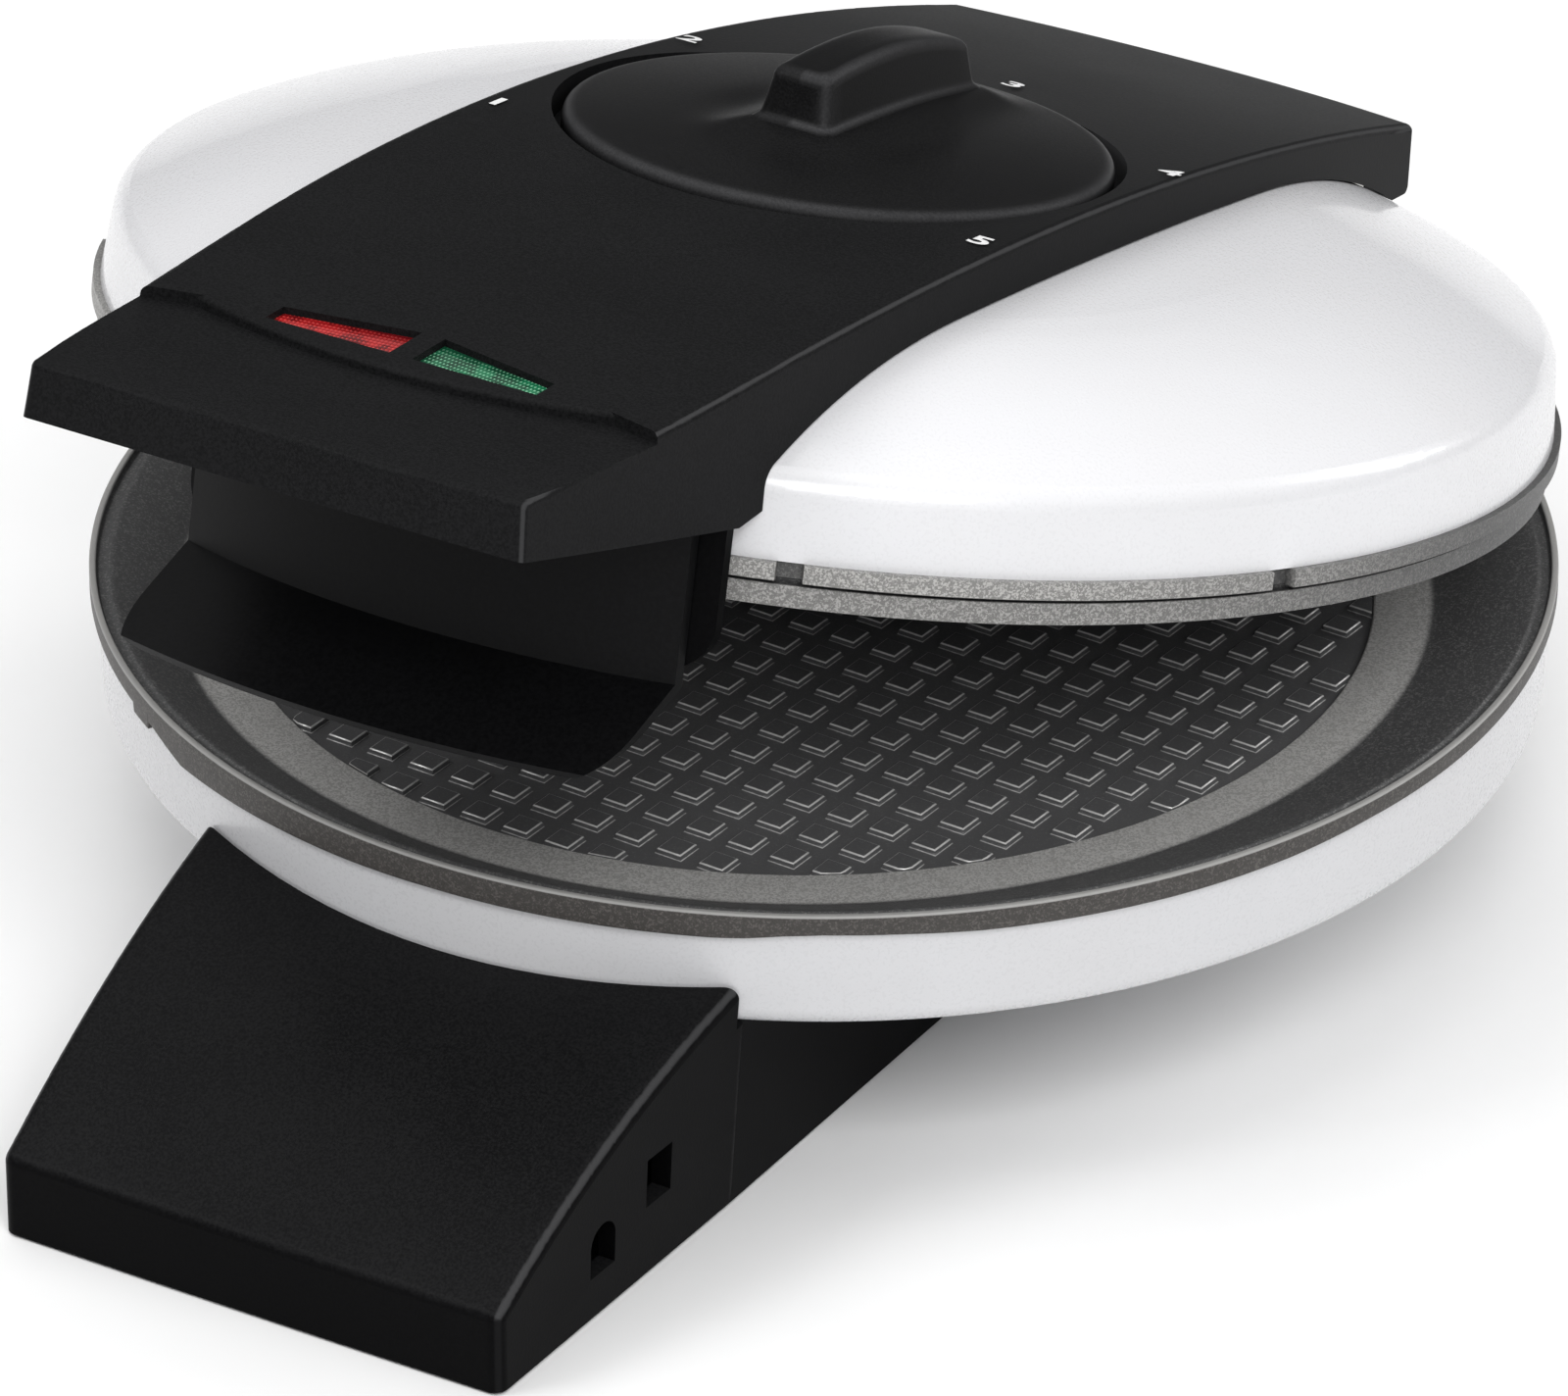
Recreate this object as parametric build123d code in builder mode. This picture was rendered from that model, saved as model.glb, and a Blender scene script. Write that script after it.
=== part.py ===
from build123d import *
from math import asin, cos, degrees, hypot, radians, sin, sqrt, tan
import os

os.makedirs("parts", exist_ok=True)

# A stroopwafel maker: a round iron with two cast plates, a lid on a rear hinge and a dial on its bridge.
# Sizes are in millimetres. +Z is up, the handle points to -Y and the hinge is at +Y. The origin is on the
# table, under the middle of the length. The lid is modelled closed, and each of its pieces is then turned
# about the hinge to the partly open pose in which the iron stands at rest.

# Overall layout
length = 273.0
plate_back = 15.0  # the plates' axis stands this far behind the origin
table_gap = 0.5  # the housing stands this far above the table, on rubber feet
rest_opening = 12.5  # degrees between the closed lid and the rest pose

# Clearances
seat_gap = 0.3  # between curved faces that sit against each other
run_gap = 0.05  # radial, round a turning pin
screw_gap = 0.3  # radial, round a screw that passes through

# Walls
sheet = 0.8  # lacquered steel of the two shells
moulding = 2.4  # black plastic walls
edge_soft = 1.2  # rounding of the moulded edges

# Lower shell and plate
shell_r = 103.9
shell_floor_z = 29.5
shell_draft = 0.4
shell_bottom_round = 3.0
lip_r = 105.0
lip_z = 48.2
lip_width = 1.0
lip_height = 0.7
groove_width = 1.7
groove_depth = 0.5
rim_depth = 3.3
apron_depth = 1.4  # how far the drip apron at the front hangs below the rim
apron_half_angle = 26.0
apron_thickness = 0.7
lug_angle = 34.7  # place of the small lug on the rim, to the left of the front
lug_width = 5.0
bake_shift = 5.5  # the baking field is set this far towards the handle
ring_r = 89.7
field_r = 81.5
ring_drop = 4.4  # from the lip down to the flat ring round the field
field_drop = 0.7  # from the ring down to the field
pad = 4.0
pad_pitch = 7.0
pad_start = -0.77  # of the pad nearest the middle, along both rows
pad_turn = -3.3  # degrees
pad_height = 0.8
plate_thickness = 3.5

# Upper plate and shell, closed
closed_gap = 0.85
lower_tier_r = 103.4
lower_tier = 3.9
upper_tier_r = 104.6
upper_tier = 2.6
tier_notch = 3.5
tier_notch_angles = (27.5, 66.8)  # to each side of the front
baking_gap = 3.6  # from ring to ring, closed
upper_shell_r = 103.6
upper_wall_top_r = 102.5
crown_rise = 25.5  # from the shell's edge to its crown
crown_radius = 900.0
shoulder_start_r = 62.0
shoulder_radius = 97.0
shoulder_round = 4.0

# Bridge with its handle
bridge_lift = 6.1  # from the crown of the shell to the top of the bridge
bridge_front = 148.9  # from the plates' axis to the handle's front face
handle_straight = 58.9  # length of the straight part of the top, from the front face
handle_slope = 7.5  # degrees
bridge_arc_radius = 633.0
bridge_front_half = 37.6
bridge_mid_half = 43.6
bridge_mid_y = -25.0
bridge_back_half = 38.4
bridge_flare = 2.0  # how much wider each side is at its lower edge
front_bow = 0.2
nose_height = 8.0
skirt_z = 60.8
skirt_y = -99.0  # lowest place of the side walls
skirt_end_z = 62.9
skirt_end_y = -90.0
back_skirt_z = 68.0
handle_plate = 2.0
back_skirt_r = 106.3
scoop_depth = 1.7
scoop_y = -122.6
scoop_end_y = -117.4
scoop_end_x = 33.0
scoop_side_y = -120.0
scoop_soft = 0.8

# Lamps
lamp_near_y = -118.4
lamp_inner_x = 1.8
lamp_outer_x = 21.4
lamp_inner_depth = 8.2
lamp_outer_depth = 4.4
lens_sink = 1.0

# Dial
dial_y = -4.0
dial_r = 39.2
dial_gap = 1.6
dial_pan_depth = 4.4
dial_pan_floor = 1.2
dial_float = 0.5
dial_thickness = 4.0
dial_dome = 2.4
rib_length = 42.3
rib_shift = 6.9  # the rib reaches further back than forward, as a pointer
rib_width = 11.0
rib_top_width = 8.6
rib_height = 10.2
rib_crest = 5.0  # behind the axis of the dial
rib_near_drop = 1.5
rib_far_drop = 3.4
rib_foot = 2.4
rib_soft = 0.8
hub_r = 6.5
spindle_r = 3.0
spindle_bite = 5.0  # how far the spindle goes into the dial's hub and into its bush
thermostat_width = 32.0
thermostat_height = 19.0
bush_height = 5.0
shell_hole_r = 24.0
lens_flange = 1.0
lens_flange_thickness = 0.8
lamp_r = 2.6
lamp_length = 7.0
holder_half = 24.0
holder_depth = 11.0
holder_thickness = 1.6

# Shield under the handle, closed
shield_r = 110.8
shield_foot_r = 127.4
shield_crease_z = 38.6
shield_foot_z = 29.6
shield_half = 39.0
shield_thickness = 1.8
shield_foot_thickness = 1.1
shield_corner = 5.0
inner_wall_r = 108.2
inner_wall_half = 42.0
inner_wall_z = 39.6
inner_wall_thickness = 1.6
inner_wall_corner = 7.0

# Base
foot_nose = 12.0
foot_front_half = 40.3
foot_back_half = 43.8  # at the top; below it is as wide as the block behind it
foot_back_y = -92.0
foot_top_z = 36.9
foot_bulge = 2.9
foot_bow = 0.2
foot_soft = 2.0
block_half = 41.2
block_back = 96.0
tower_half = 24.0
tower_gap = 1.5  # between the lip and the tower

# Hinge
hinge_z = 62.0
hinge_lug_r = 7.0
hinge_knuckle_r = 6.4
hinge_pin_r = 2.5
arm_half = 15.0
arm_gap = 0.4
arm_screw_x = 8.0
arm_screw_z = 61.5
arm_reach = 9.0  # how far the hinge arm runs forward of the shell's outer radius

# Heating, screws and small parts
element_r = 56.0
element_tube_r = 3.2
terminal_bend = 8.0
terminal_half_angle = 18.0
terminal_length = 5.0
reflector = 0.5
screw_r = 1.9
screw_head_r = 3.6
screw_head = 1.8
boss_r = 4.6
foot_pad_r = 7.0
gland_r = 4.6
gland_flange = 1.2
vent_length = 40.0
vent_width = 3.0
vent_count = 6
screw_bite = 5.0
terminal_block_width = 48.0
terminal_block_depth = 14.0
terminal_block_height = 12.0
side_hole_width = 6.0
side_hole_height = 7.6
side_hole_y = 38.9
side_hole_z = 15.2
side_arch_width = 6.0
side_arch_height = 4.6
side_arch_y = 25.4
side_arch_z = 9.2

# Heights and places that follow from the sizes above
front_y = -length / 2
back_y = length / 2
hinge_y = back_y - hinge_lug_r
rim_z = lip_z - rim_depth
ring_z = lip_z - ring_drop
field_z = ring_z - field_drop
plate_under_z = field_z - plate_thickness
shell_floor_top = shell_floor_z + sheet
upper_edge_z = lip_z + closed_gap
tier_z = upper_edge_z + lower_tier
shell_edge_z = tier_z + upper_tier
upper_face_z = ring_z + baking_gap
upper_plate_top_z = upper_face_z + field_drop + plate_thickness
crown_z = shell_edge_z + crown_rise
bridge_z = crown_z + bridge_lift
dial_floor_z = bridge_z - dial_pan_depth
pan_r = dial_r + dial_gap
tower_front_y = plate_back + lip_r + tower_gap
plate_axis = Axis((0, plate_back, 0), (0, 0, 1))
hinge_line = Axis((0, hinge_y, hinge_z), (1, 0, 0))


def level(z, y=0.0):
    """Level plane at height z, its middle at y from the axis of the plates."""
    return Plane(origin=(0, plate_back + y, z))


def section(x=0.0, y=0.0):
    """Upright plane for profiles that are turned about an axis at x and y from the plates' axis."""
    return Plane(origin=(x, plate_back + y, 0), x_dir=(1, 0, 0), z_dir=(0, -1, 0))


def upright(x=0.0, y=0.0):
    """Upright axis at x and y from the axis of the plates."""
    return Axis((x, plate_back + y, 0), (0, 0, 1))


def swing(piece):
    """The closed piece of the lid, turned about the hinge to its rest pose."""
    return piece.rotate(hinge_line, -rest_opening)


def dome_turn(r):
    """Slope of the upper shell's dome at the distance r from its axis, in radians."""
    if r <= shoulder_start_r:
        return asin(r / crown_radius)
    return asin(shoulder_start_r / crown_radius + (r - shoulder_start_r) / shoulder_radius)


def dome_z(r):
    """Height of the dome's outer face at the distance r from its axis."""
    crown_drop = crown_radius * (1 - cos(dome_turn(min(r, shoulder_start_r))))
    if r <= shoulder_start_r:
        return crown_z - crown_drop
    return crown_z - crown_drop - shoulder_radius * (cos(dome_turn(shoulder_start_r)) - cos(dome_turn(r)))


def under_dome_z(r):
    """Height just below the dome's inner face at the distance r from its axis."""
    return dome_z(r) - sheet / cos(dome_turn(r)) - seat_gap / 3


def bridge_top_z(y):
    """Height of the bridge's top at y from the axis of the plates, measured on its own outline."""
    touch_y = -bridge_front + handle_straight
    top_y = touch_y + bridge_arc_radius * sin(radians(handle_slope))
    if y <= touch_y:
        return bridge_touch_z - (touch_y - y) * tan(radians(handle_slope))
    return bridge_z - bridge_arc_radius + sqrt(bridge_arc_radius**2 - (y - top_y) ** 2)


# The top of the bridge is straight along the handle, and one arc from there to the back
arc_start_y = -bridge_front + handle_straight
bridge_touch_z = bridge_z - bridge_arc_radius * (1 - cos(radians(handle_slope)))
bridge_front_z = bridge_touch_z - handle_straight * tan(radians(handle_slope))
nose_z = bridge_front_z - nose_height
under_slope = (nose_z - skirt_z) / (bridge_front + skirt_y)


def underside_z(y):
    """Height of the handle's lower edge at y from the axis of the plates."""
    return nose_z - under_slope * (y + bridge_front)


# Places of screws and bosses, from the axis of the plates
plate_boss_x = 24.0
plate_boss_y = 74.0
lid_screw_x = 27.0
lid_screw_y = 60.0
cover_screw_x = 24.0
cover_screw_y = 80.0
handle_screw_x = 24.0
handle_screw_y = -129.0
base_screw_x = 29.0
base_screw_front = 134.0
base_screw_back = 86.0
foot_pad_x = 26.0
foot_pad_front = 118.0
foot_pad_back = 66.0
gland_x = -(tower_half + gland_r + 2 * gland_flange)
plate_boss_spots = [(x, y) for x in (-plate_boss_x, plate_boss_x) for y in (-plate_boss_y, plate_boss_y)]
lid_screw_spots = [(x, y) for x in (-lid_screw_x, lid_screw_x) for y in (-lid_screw_y, lid_screw_y)]
cover_screw_spots = [
    (x, y) for x in (-cover_screw_x, cover_screw_x) for y in (-cover_screw_y, cover_screw_y)
]
handle_screw_spots = [(x, handle_screw_y) for x in (-handle_screw_x, handle_screw_x)]
foot_pad_spots = [(x, y) for x in (-foot_pad_x, foot_pad_x) for y in (-foot_pad_front, foot_pad_back)]
base_screw_spots = [
    (x, y) for x in (-base_screw_x, base_screw_x) for y in (-base_screw_front, base_screw_back)
]


def element_path(z, turn):
    """Lines of a tubular element at height z: an open ring whose ends bend down (-1) or up (+1)."""
    ring_turn = 360 - 2 * terminal_half_angle
    ring = CenterArc((0, plate_back, z), element_r, 90 + terminal_half_angle, ring_turn)
    for place, sense in ((0, -1), (1, 1)):
        start = ring @ place
        ahead = (ring % place) * sense * terminal_bend
        rise = Vector(0, 0, turn * terminal_bend)
        halfway = start + ahead * sin(radians(45)) + rise * (1 - cos(radians(45)))
        end = start + ahead + rise
        ThreePointArc(start, halfway, end)
        Line(end, end + Vector(0, 0, turn * terminal_length))


def terminal_slot():
    """Opening round both ends of an element, in a sketch about the plates' axis."""
    half = element_r * sin(radians(terminal_half_angle)) + 2 * element_tube_r
    with Locations((0, element_r * cos(radians(terminal_half_angle)) + terminal_bend / 4)):
        SlotOverall(2 * half, 4 * element_tube_r)


def screws(spots, head_z, shaft_z):
    """Round-headed screws at the spots: the head starts at head_z and the shaft ends at shaft_z."""
    up = 1 if shaft_z(0, 0) > head_z(0, 0) else -1
    with BuildPart() as group:
        for x, y in spots:
            with Locations((x, plate_back + y, head_z(x, y))):
                shaft_length = abs(shaft_z(x, y) - head_z(x, y))
                head_side = Align.MAX if up > 0 else Align.MIN
                shaft_side = Align.MIN if up > 0 else Align.MAX
                Cylinder(screw_head_r, screw_head, align=(Align.CENTER, Align.CENTER, head_side))
                Cylinder(screw_r, shaft_length, align=(Align.CENTER, Align.CENTER, shaft_side))
            with BuildSketch(level(head_z(x, y) - up * screw_head, y)):
                with Locations((x, 0)):
                    Rectangle(screw_head_r * 1.3, screw_head_r * 0.25)
                    Rectangle(screw_head_r * 0.25, screw_head_r * 1.3)
            extrude(amount=up * screw_head * 0.4, mode=Mode.SUBTRACT)
    return group.part


# Lower shell: a white sheet-steel dish that hangs under the rim of the lower plate
with BuildPart() as lower_shell:
    with BuildSketch(section()):
        with BuildLine():
            Polyline(
                (0, shell_floor_z),
                (shell_r - shell_draft, shell_floor_z),
                (shell_r, rim_z),
                (shell_r - sheet, rim_z),
                (shell_r - shell_draft - sheet, shell_floor_top),
                (0, shell_floor_top),
                close=True,
            )
        make_face()
    revolve(axis=plate_axis)
    corners = lower_shell.edges().filter_by(GeomType.CIRCLE).group_by(Axis.Z)
    fillet(corners[1].sort_by(SortBy.LENGTH)[-1], shell_bottom_round - sheet)
    corners = lower_shell.edges().filter_by(GeomType.CIRCLE).group_by(Axis.Z)
    fillet(corners[0].sort_by(SortBy.LENGTH)[-1], shell_bottom_round)
    with Locations(level(shell_floor_top)):
        with Locations(*plate_boss_spots):
            Hole(screw_r + screw_gap)
    with BuildSketch(level(shell_floor_z)):
        terminal_slot()
    extrude(amount=sheet, mode=Mode.SUBTRACT)

lower_shell.part.label = "lower_shell"
export_step(lower_shell.part, "parts/lower_shell.step")

# Lower plate: cast aluminium, a sloping dish with a lip, a flat ring and a field of raised square pads
flange_r = lip_r - lip_width - groove_width
flange_z = lip_z - lip_height - groove_depth / 2
with BuildPart() as lower_plate:
    with BuildSketch(section()):
        with BuildLine():
            Polyline(
                (0, plate_under_z),
                (ring_r + bake_shift / 2, plate_under_z),
                (shell_r - sheet - seat_gap, rim_z),
                (lip_r, rim_z),
                (lip_r, lip_z),
                (0, lip_z),
                close=True,
            )
        make_face()
    revolve(axis=plate_axis)
    with BuildSketch(level(flange_z)):
        Circle(flange_r)
    with BuildSketch(level(ring_z, -bake_shift)):
        Circle(ring_r)
    loft(mode=Mode.SUBTRACT)
    with BuildSketch(level(flange_z)):
        Circle(flange_r)
    extrude(amount=lip_z - flange_z, mode=Mode.SUBTRACT)
    with BuildSketch(level(lip_z)):
        Circle(lip_r - lip_width)
        Circle(flange_r - lip_height, mode=Mode.SUBTRACT)
    extrude(amount=-(lip_height + groove_depth), mode=Mode.SUBTRACT)
    with BuildSketch(level(ring_z, -bake_shift)):
        Circle(field_r)
    extrude(amount=-field_drop, mode=Mode.SUBTRACT)
    pad_steps = range(-int(field_r / pad_pitch) - 1, int(field_r / pad_pitch) + 2)
    pad_places = [(i * pad_pitch + pad_start, j * pad_pitch + pad_start) for i in pad_steps for j in pad_steps]
    pad_places = [(x, y) for x, y in pad_places if hypot(x, y) < field_r - 0.75 * pad]
    with Locations(level(field_z, -bake_shift).rotated((0, 0, pad_turn))):
        with Locations(*pad_places):
            Box(pad, pad, pad_height, align=(Align.CENTER, Align.CENTER, Align.MIN))
    with BuildSketch(level(shell_floor_top)):
        with Locations(*plate_boss_spots):
            Circle(boss_r)
    extrude(amount=plate_under_z - shell_floor_top)
    with BuildSketch(level(shell_floor_top)):
        with Locations(*plate_boss_spots):
            Circle(screw_r + run_gap)
    extrude(amount=plate_under_z - shell_floor_top, mode=Mode.SUBTRACT)
    with BuildSketch(level(rim_z)):
        with BuildLine():
            outer = CenterArc((0, 0), lip_r, -90 - apron_half_angle, 2 * apron_half_angle)
            inner = CenterArc((0, 0), lip_r - apron_thickness, -90 - apron_half_angle, 2 * apron_half_angle)
            Line(outer @ 0, inner @ 0)
            Line(outer @ 1, inner @ 1)
        make_face()
    extrude(amount=-apron_depth)
    with BuildSketch(level(rim_z)):
        with PolarLocations(lip_r - apron_thickness / 2, 1, start_angle=-90 - lug_angle):
            Rectangle(apron_thickness, lug_width)
    extrude(amount=-apron_depth)

lower_plate.part.label = "lower_plate"
export_step(lower_plate.part, "parts/lower_plate.step")

# Lower heating element: a bent steel tube under the plate, its two ends in the base
element_z = plate_under_z - element_tube_r - seat_gap / 3
with BuildPart() as lower_element:
    with BuildLine() as lower_path:
        element_path(element_z, -1)
    tube_path = lower_path.wires()[0]
    with BuildSketch(Plane(origin=tube_path @ 0, z_dir=tube_path % 0)):
        Circle(element_tube_r)
    sweep(path=tube_path)

lower_element.part.label = "lower_element"
export_step(lower_element.part, "parts/lower_element.step")


def reflector_profile(seat_z, flat_z):
    """Section of a pan that stands on seat_z with its skirt and lies under or over an element at flat_z."""
    lean = abs(flat_z - seat_z)
    flat_r = element_r + 4 * element_tube_r
    thick = reflector if flat_z > seat_z else -reflector
    with BuildSketch() as pan:
        with BuildLine():
            Polyline(
                (0, flat_z),
                (flat_r, flat_z),
                (flat_r + lean, seat_z),
                (flat_r + lean - reflector, seat_z),
                (flat_r - reflector, flat_z - thick),
                (0, flat_z - thick),
                close=True,
            )
        make_face()
    return pan.sketch


# Lower reflector: a thin bright pan that throws the element's heat up at the plate
lower_reflector_z = element_z - element_tube_r - 2 * seat_gap
with BuildPart() as lower_reflector:
    with BuildSketch(section()):
        add(reflector_profile(shell_floor_top, lower_reflector_z))
    revolve(axis=plate_axis)
    with BuildSketch(level(shell_floor_z)):
        terminal_slot()
        with Locations(*plate_boss_spots):
            Circle(boss_r + seat_gap)
    extrude(amount=plate_under_z - shell_floor_z, mode=Mode.SUBTRACT)

lower_reflector.part.label = "lower_reflector"
export_step(lower_reflector.part, "parts/lower_reflector.step")


# Base housing: a black foot in front, a block under the shell and a hinge tower behind
def foot_profile():
    """Side view of the foot: a short upright nose and a bulging top that rises to the shell."""
    nose_top = (front_y, table_gap + foot_nose)
    rear_top = (plate_back + foot_back_y, foot_top_z)
    rise = rear_top[1] - nose_top[1]
    run = rear_top[0] - nose_top[0]
    reach = hypot(run, rise)
    bulge = (
        (nose_top[0] + rear_top[0]) / 2 - foot_bulge * rise / reach,
        (nose_top[1] + rear_top[1]) / 2 + foot_bulge * run / reach,
    )
    with BuildSketch() as side:
        with BuildLine():
            Line((front_y, table_gap), nose_top)
            ThreePointArc(nose_top, bulge, rear_top)
            Polyline(rear_top, (rear_top[0], table_gap), (front_y, table_gap))
        make_face()
    return side.sketch


def foot_outline(inset, back_half=block_half):
    """Foot seen from above, drawn about the plates' axis, each side moved in by the inset."""
    foot_front = front_y - plate_back + inset
    front = foot_front_half - inset
    back = back_half - inset
    with BuildSketch() as plan:
        with BuildLine():
            ThreePointArc((-front, foot_front + foot_bow), (0, foot_front), (front, foot_front + foot_bow))
            Polyline(
                (front, foot_front + foot_bow),
                (back, foot_back_y),
                (-back, foot_back_y),
                (-front, foot_front + foot_bow),
            )
        make_face()
    return plan.sketch


base_plate_z = table_gap + moulding / 2
base_plate_top = base_plate_z + handle_plate
tower_start_y = plate_back + block_back - 2 * moulding
slot_floor_z = shell_edge_z - moulding / 2

with BuildPart() as foot:
    with BuildSketch(Plane.YZ):
        add(foot_profile())
    extrude(amount=2 * foot_back_half, both=True)
    with BuildSketch(level(0)):
        add(foot_outline(0))
    with BuildSketch(level(foot_top_z)):
        add(foot_outline(0, foot_back_half))
    loft(mode=Mode.INTERSECT)
    top_edges = foot.edges().filter_by(
        lambda edge: abs((edge @ 0.5).X) > foot_front_half / 2
        and table_gap + foot_nose < (edge @ 0.5).Z < foot_top_z - edge_soft
    )
    nose_edges = foot.edges().filter_by(
        lambda edge: (edge @ 0.5).Y < front_y + 2 * foot_bow and (edge @ 0.5).Z > table_gap + edge_soft
    )
    fillet(top_edges + nose_edges, foot_soft)
    with BuildSketch(level(shell_floor_z)):
        Circle(shell_r + seat_gap)
    extrude(amount=foot_top_z, mode=Mode.SUBTRACT)

# The hollow under the base leaves its walls and the bosses for the screws
with BuildPart() as base_hollow:
    with BuildSketch(Plane.YZ):
        add(foot_profile())
        offset(amount=-moulding, kind=Kind.INTERSECTION, mode=Mode.REPLACE)
    extrude(amount=2 * foot_back_half, both=True)
    with BuildSketch(level(0)):
        add(foot_outline(moulding))
    extrude(amount=2 * foot_top_z, mode=Mode.INTERSECT)
    with BuildSketch(level(shell_floor_z - moulding)):
        Circle(shell_r + seat_gap + moulding)
    extrude(amount=foot_top_z, mode=Mode.SUBTRACT)
    with BuildSketch(level(table_gap)):
        add(foot_outline(moulding))
    extrude(amount=2 * moulding)
    with BuildSketch(level(0, foot_back_y - moulding)):
        Rectangle(4 * foot_back_half, length, align=(Align.CENTER, Align.MIN))
    extrude(amount=2 * foot_top_z, mode=Mode.SUBTRACT)
    with BuildSketch(level(table_gap, foot_back_y - 4 * moulding)):
        Rectangle(
            2 * (block_half - moulding),
            block_back - foot_back_y + 3 * moulding,
            align=(Align.CENTER, Align.MIN),
        )
    extrude(amount=shell_floor_z - table_gap - moulding)
    with BuildSketch(Plane.YZ):
        with BuildLine():
            Polyline(
                (tower_start_y - moulding, table_gap),
                (back_y - moulding, table_gap),
                (back_y - moulding, slot_floor_z - moulding),
                (tower_front_y + moulding, slot_floor_z - moulding),
                (tower_front_y + moulding, shell_floor_z - moulding),
                (tower_start_y - moulding, shell_floor_z - moulding),
                close=True,
            )
        make_face()
    extrude(amount=tower_half - moulding, both=True)
    with BuildSketch(level(0)):
        with Locations(*base_screw_spots):
            Circle(boss_r)
    extrude(amount=2 * foot_top_z, mode=Mode.SUBTRACT)

with BuildPart() as base_housing:
    add(foot.part)
    with BuildSketch(level(table_gap, foot_back_y - moulding)):
        Rectangle(2 * block_half, block_back - foot_back_y + moulding, align=(Align.CENTER, Align.MIN))
        fillet(vertices().group_by(Axis.Y)[-1], edge_soft)
    extrude(amount=shell_floor_z - table_gap)
    with BuildSketch(Plane.YZ):
        with BuildLine():
            Polyline((tower_start_y, table_gap), (back_y, table_gap), (back_y, hinge_z))
            ThreePointArc(
                (back_y, hinge_z), (hinge_y, hinge_z + hinge_lug_r), (hinge_y - hinge_lug_r, hinge_z)
            )
            Polyline(
                (hinge_y - hinge_lug_r, hinge_z),
                (tower_front_y, hinge_z - hinge_lug_r),
                (tower_front_y, shell_floor_z),
                (tower_start_y, shell_floor_z),
                (tower_start_y, table_gap),
            )
        make_face()
    extrude(amount=tower_half, both=True)
    add(base_hollow.part, mode=Mode.SUBTRACT)
    with BuildSketch(level(table_gap)):
        with Locations(*base_screw_spots):
            Circle(boss_r + seat_gap)
    extrude(amount=base_plate_top - table_gap, mode=Mode.SUBTRACT)
    with BuildSketch(level(table_gap)):
        with Locations(*base_screw_spots):
            Circle(screw_r + run_gap)
    extrude(amount=foot_nose, mode=Mode.SUBTRACT)
    with BuildSketch(level(shell_floor_z)):
        terminal_slot()
        with Locations(*plate_boss_spots):
            Circle(screw_r + screw_gap)
    extrude(amount=-moulding, mode=Mode.SUBTRACT)
    with BuildSketch(Plane.YZ):
        with Locations((hinge_y, hinge_z)):
            Circle(hinge_pin_r + run_gap)
    extrude(amount=tower_half, both=True, mode=Mode.SUBTRACT)
    with BuildSketch(level(slot_floor_z, back_y - plate_back)):
        Rectangle(2 * (arm_half + arm_gap), 6 * hinge_lug_r)
    extrude(amount=4 * hinge_lug_r, mode=Mode.SUBTRACT)
    with BuildSketch(Plane.YZ):
        with Locations((front_y + side_hole_y, side_hole_z)):
            Rectangle(side_hole_width, side_hole_height)
        with Locations((front_y + side_arch_y, side_arch_z)):
            Rectangle(side_arch_width, side_arch_height)
        with Locations((front_y + side_arch_y, side_arch_z + side_arch_height / 2)):
            Circle(side_arch_width / 2)
    extrude(amount=2 * foot_back_half, mode=Mode.SUBTRACT)
    with BuildSketch(Plane.XZ.offset(-(plate_back + block_back))):
        with Locations((gland_x, shell_floor_z / 2)):
            Circle(gland_r + run_gap)
    extrude(amount=2 * moulding, mode=Mode.SUBTRACT)

base_housing.part.label = "base_housing"
export_step(base_housing.part, "parts/base_housing.step")


# Base cover: a flat black plate that closes the base from below
with BuildPart() as base_cover:
    with BuildSketch(level(base_plate_z)):
        add(foot_outline(moulding + seat_gap))
        with Locations((0, foot_back_y - moulding - seat_gap)):
            Rectangle(
                4 * foot_back_half, length, align=(Align.CENTER, Align.MIN), mode=Mode.SUBTRACT
            )
        with Locations((0, foot_back_y - 4 * moulding)):
            Rectangle(
                2 * (block_half - moulding - seat_gap),
                block_back - foot_back_y + 3 * moulding - seat_gap,
                align=(Align.CENTER, Align.MIN),
            )
        with Locations((0, block_back - 4 * moulding)):
            Rectangle(
                2 * (tower_half - moulding - seat_gap),
                back_y - plate_back - block_back + 3 * moulding - seat_gap,
                align=(Align.CENTER, Align.MIN),
            )
    extrude(amount=handle_plate)
    with BuildSketch(level(base_plate_z)):
        with GridLocations(0, 3 * vent_width, 1, vent_count):
            SlotOverall(vent_length, vent_width)
        with Locations(*base_screw_spots):
            Circle(screw_r + screw_gap)
    extrude(amount=handle_plate, mode=Mode.SUBTRACT)

base_cover.part.label = "base_cover"
export_step(base_cover.part, "parts/base_cover.step")

# Screws of the base cover, their heads below it and clear of the table
base_screws = screws(
    base_screw_spots, lambda x, y: base_plate_z, lambda x, y: base_plate_top + screw_bite
)
base_screws.label = "base_screws"
export_step(base_screws, "parts/base_screws.step")

# Four rubber feet under the base cover
with BuildPart() as rubber_feet:
    with BuildSketch(level(0)):
        with Locations(*foot_pad_spots):
            Circle(foot_pad_r)
    extrude(amount=base_plate_z)
    chamfer(rubber_feet.edges().group_by(Axis.Z)[0], table_gap / 3)

rubber_feet.part.label = "rubber_feet"
export_step(rubber_feet.part, "parts/rubber_feet.step")

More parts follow.
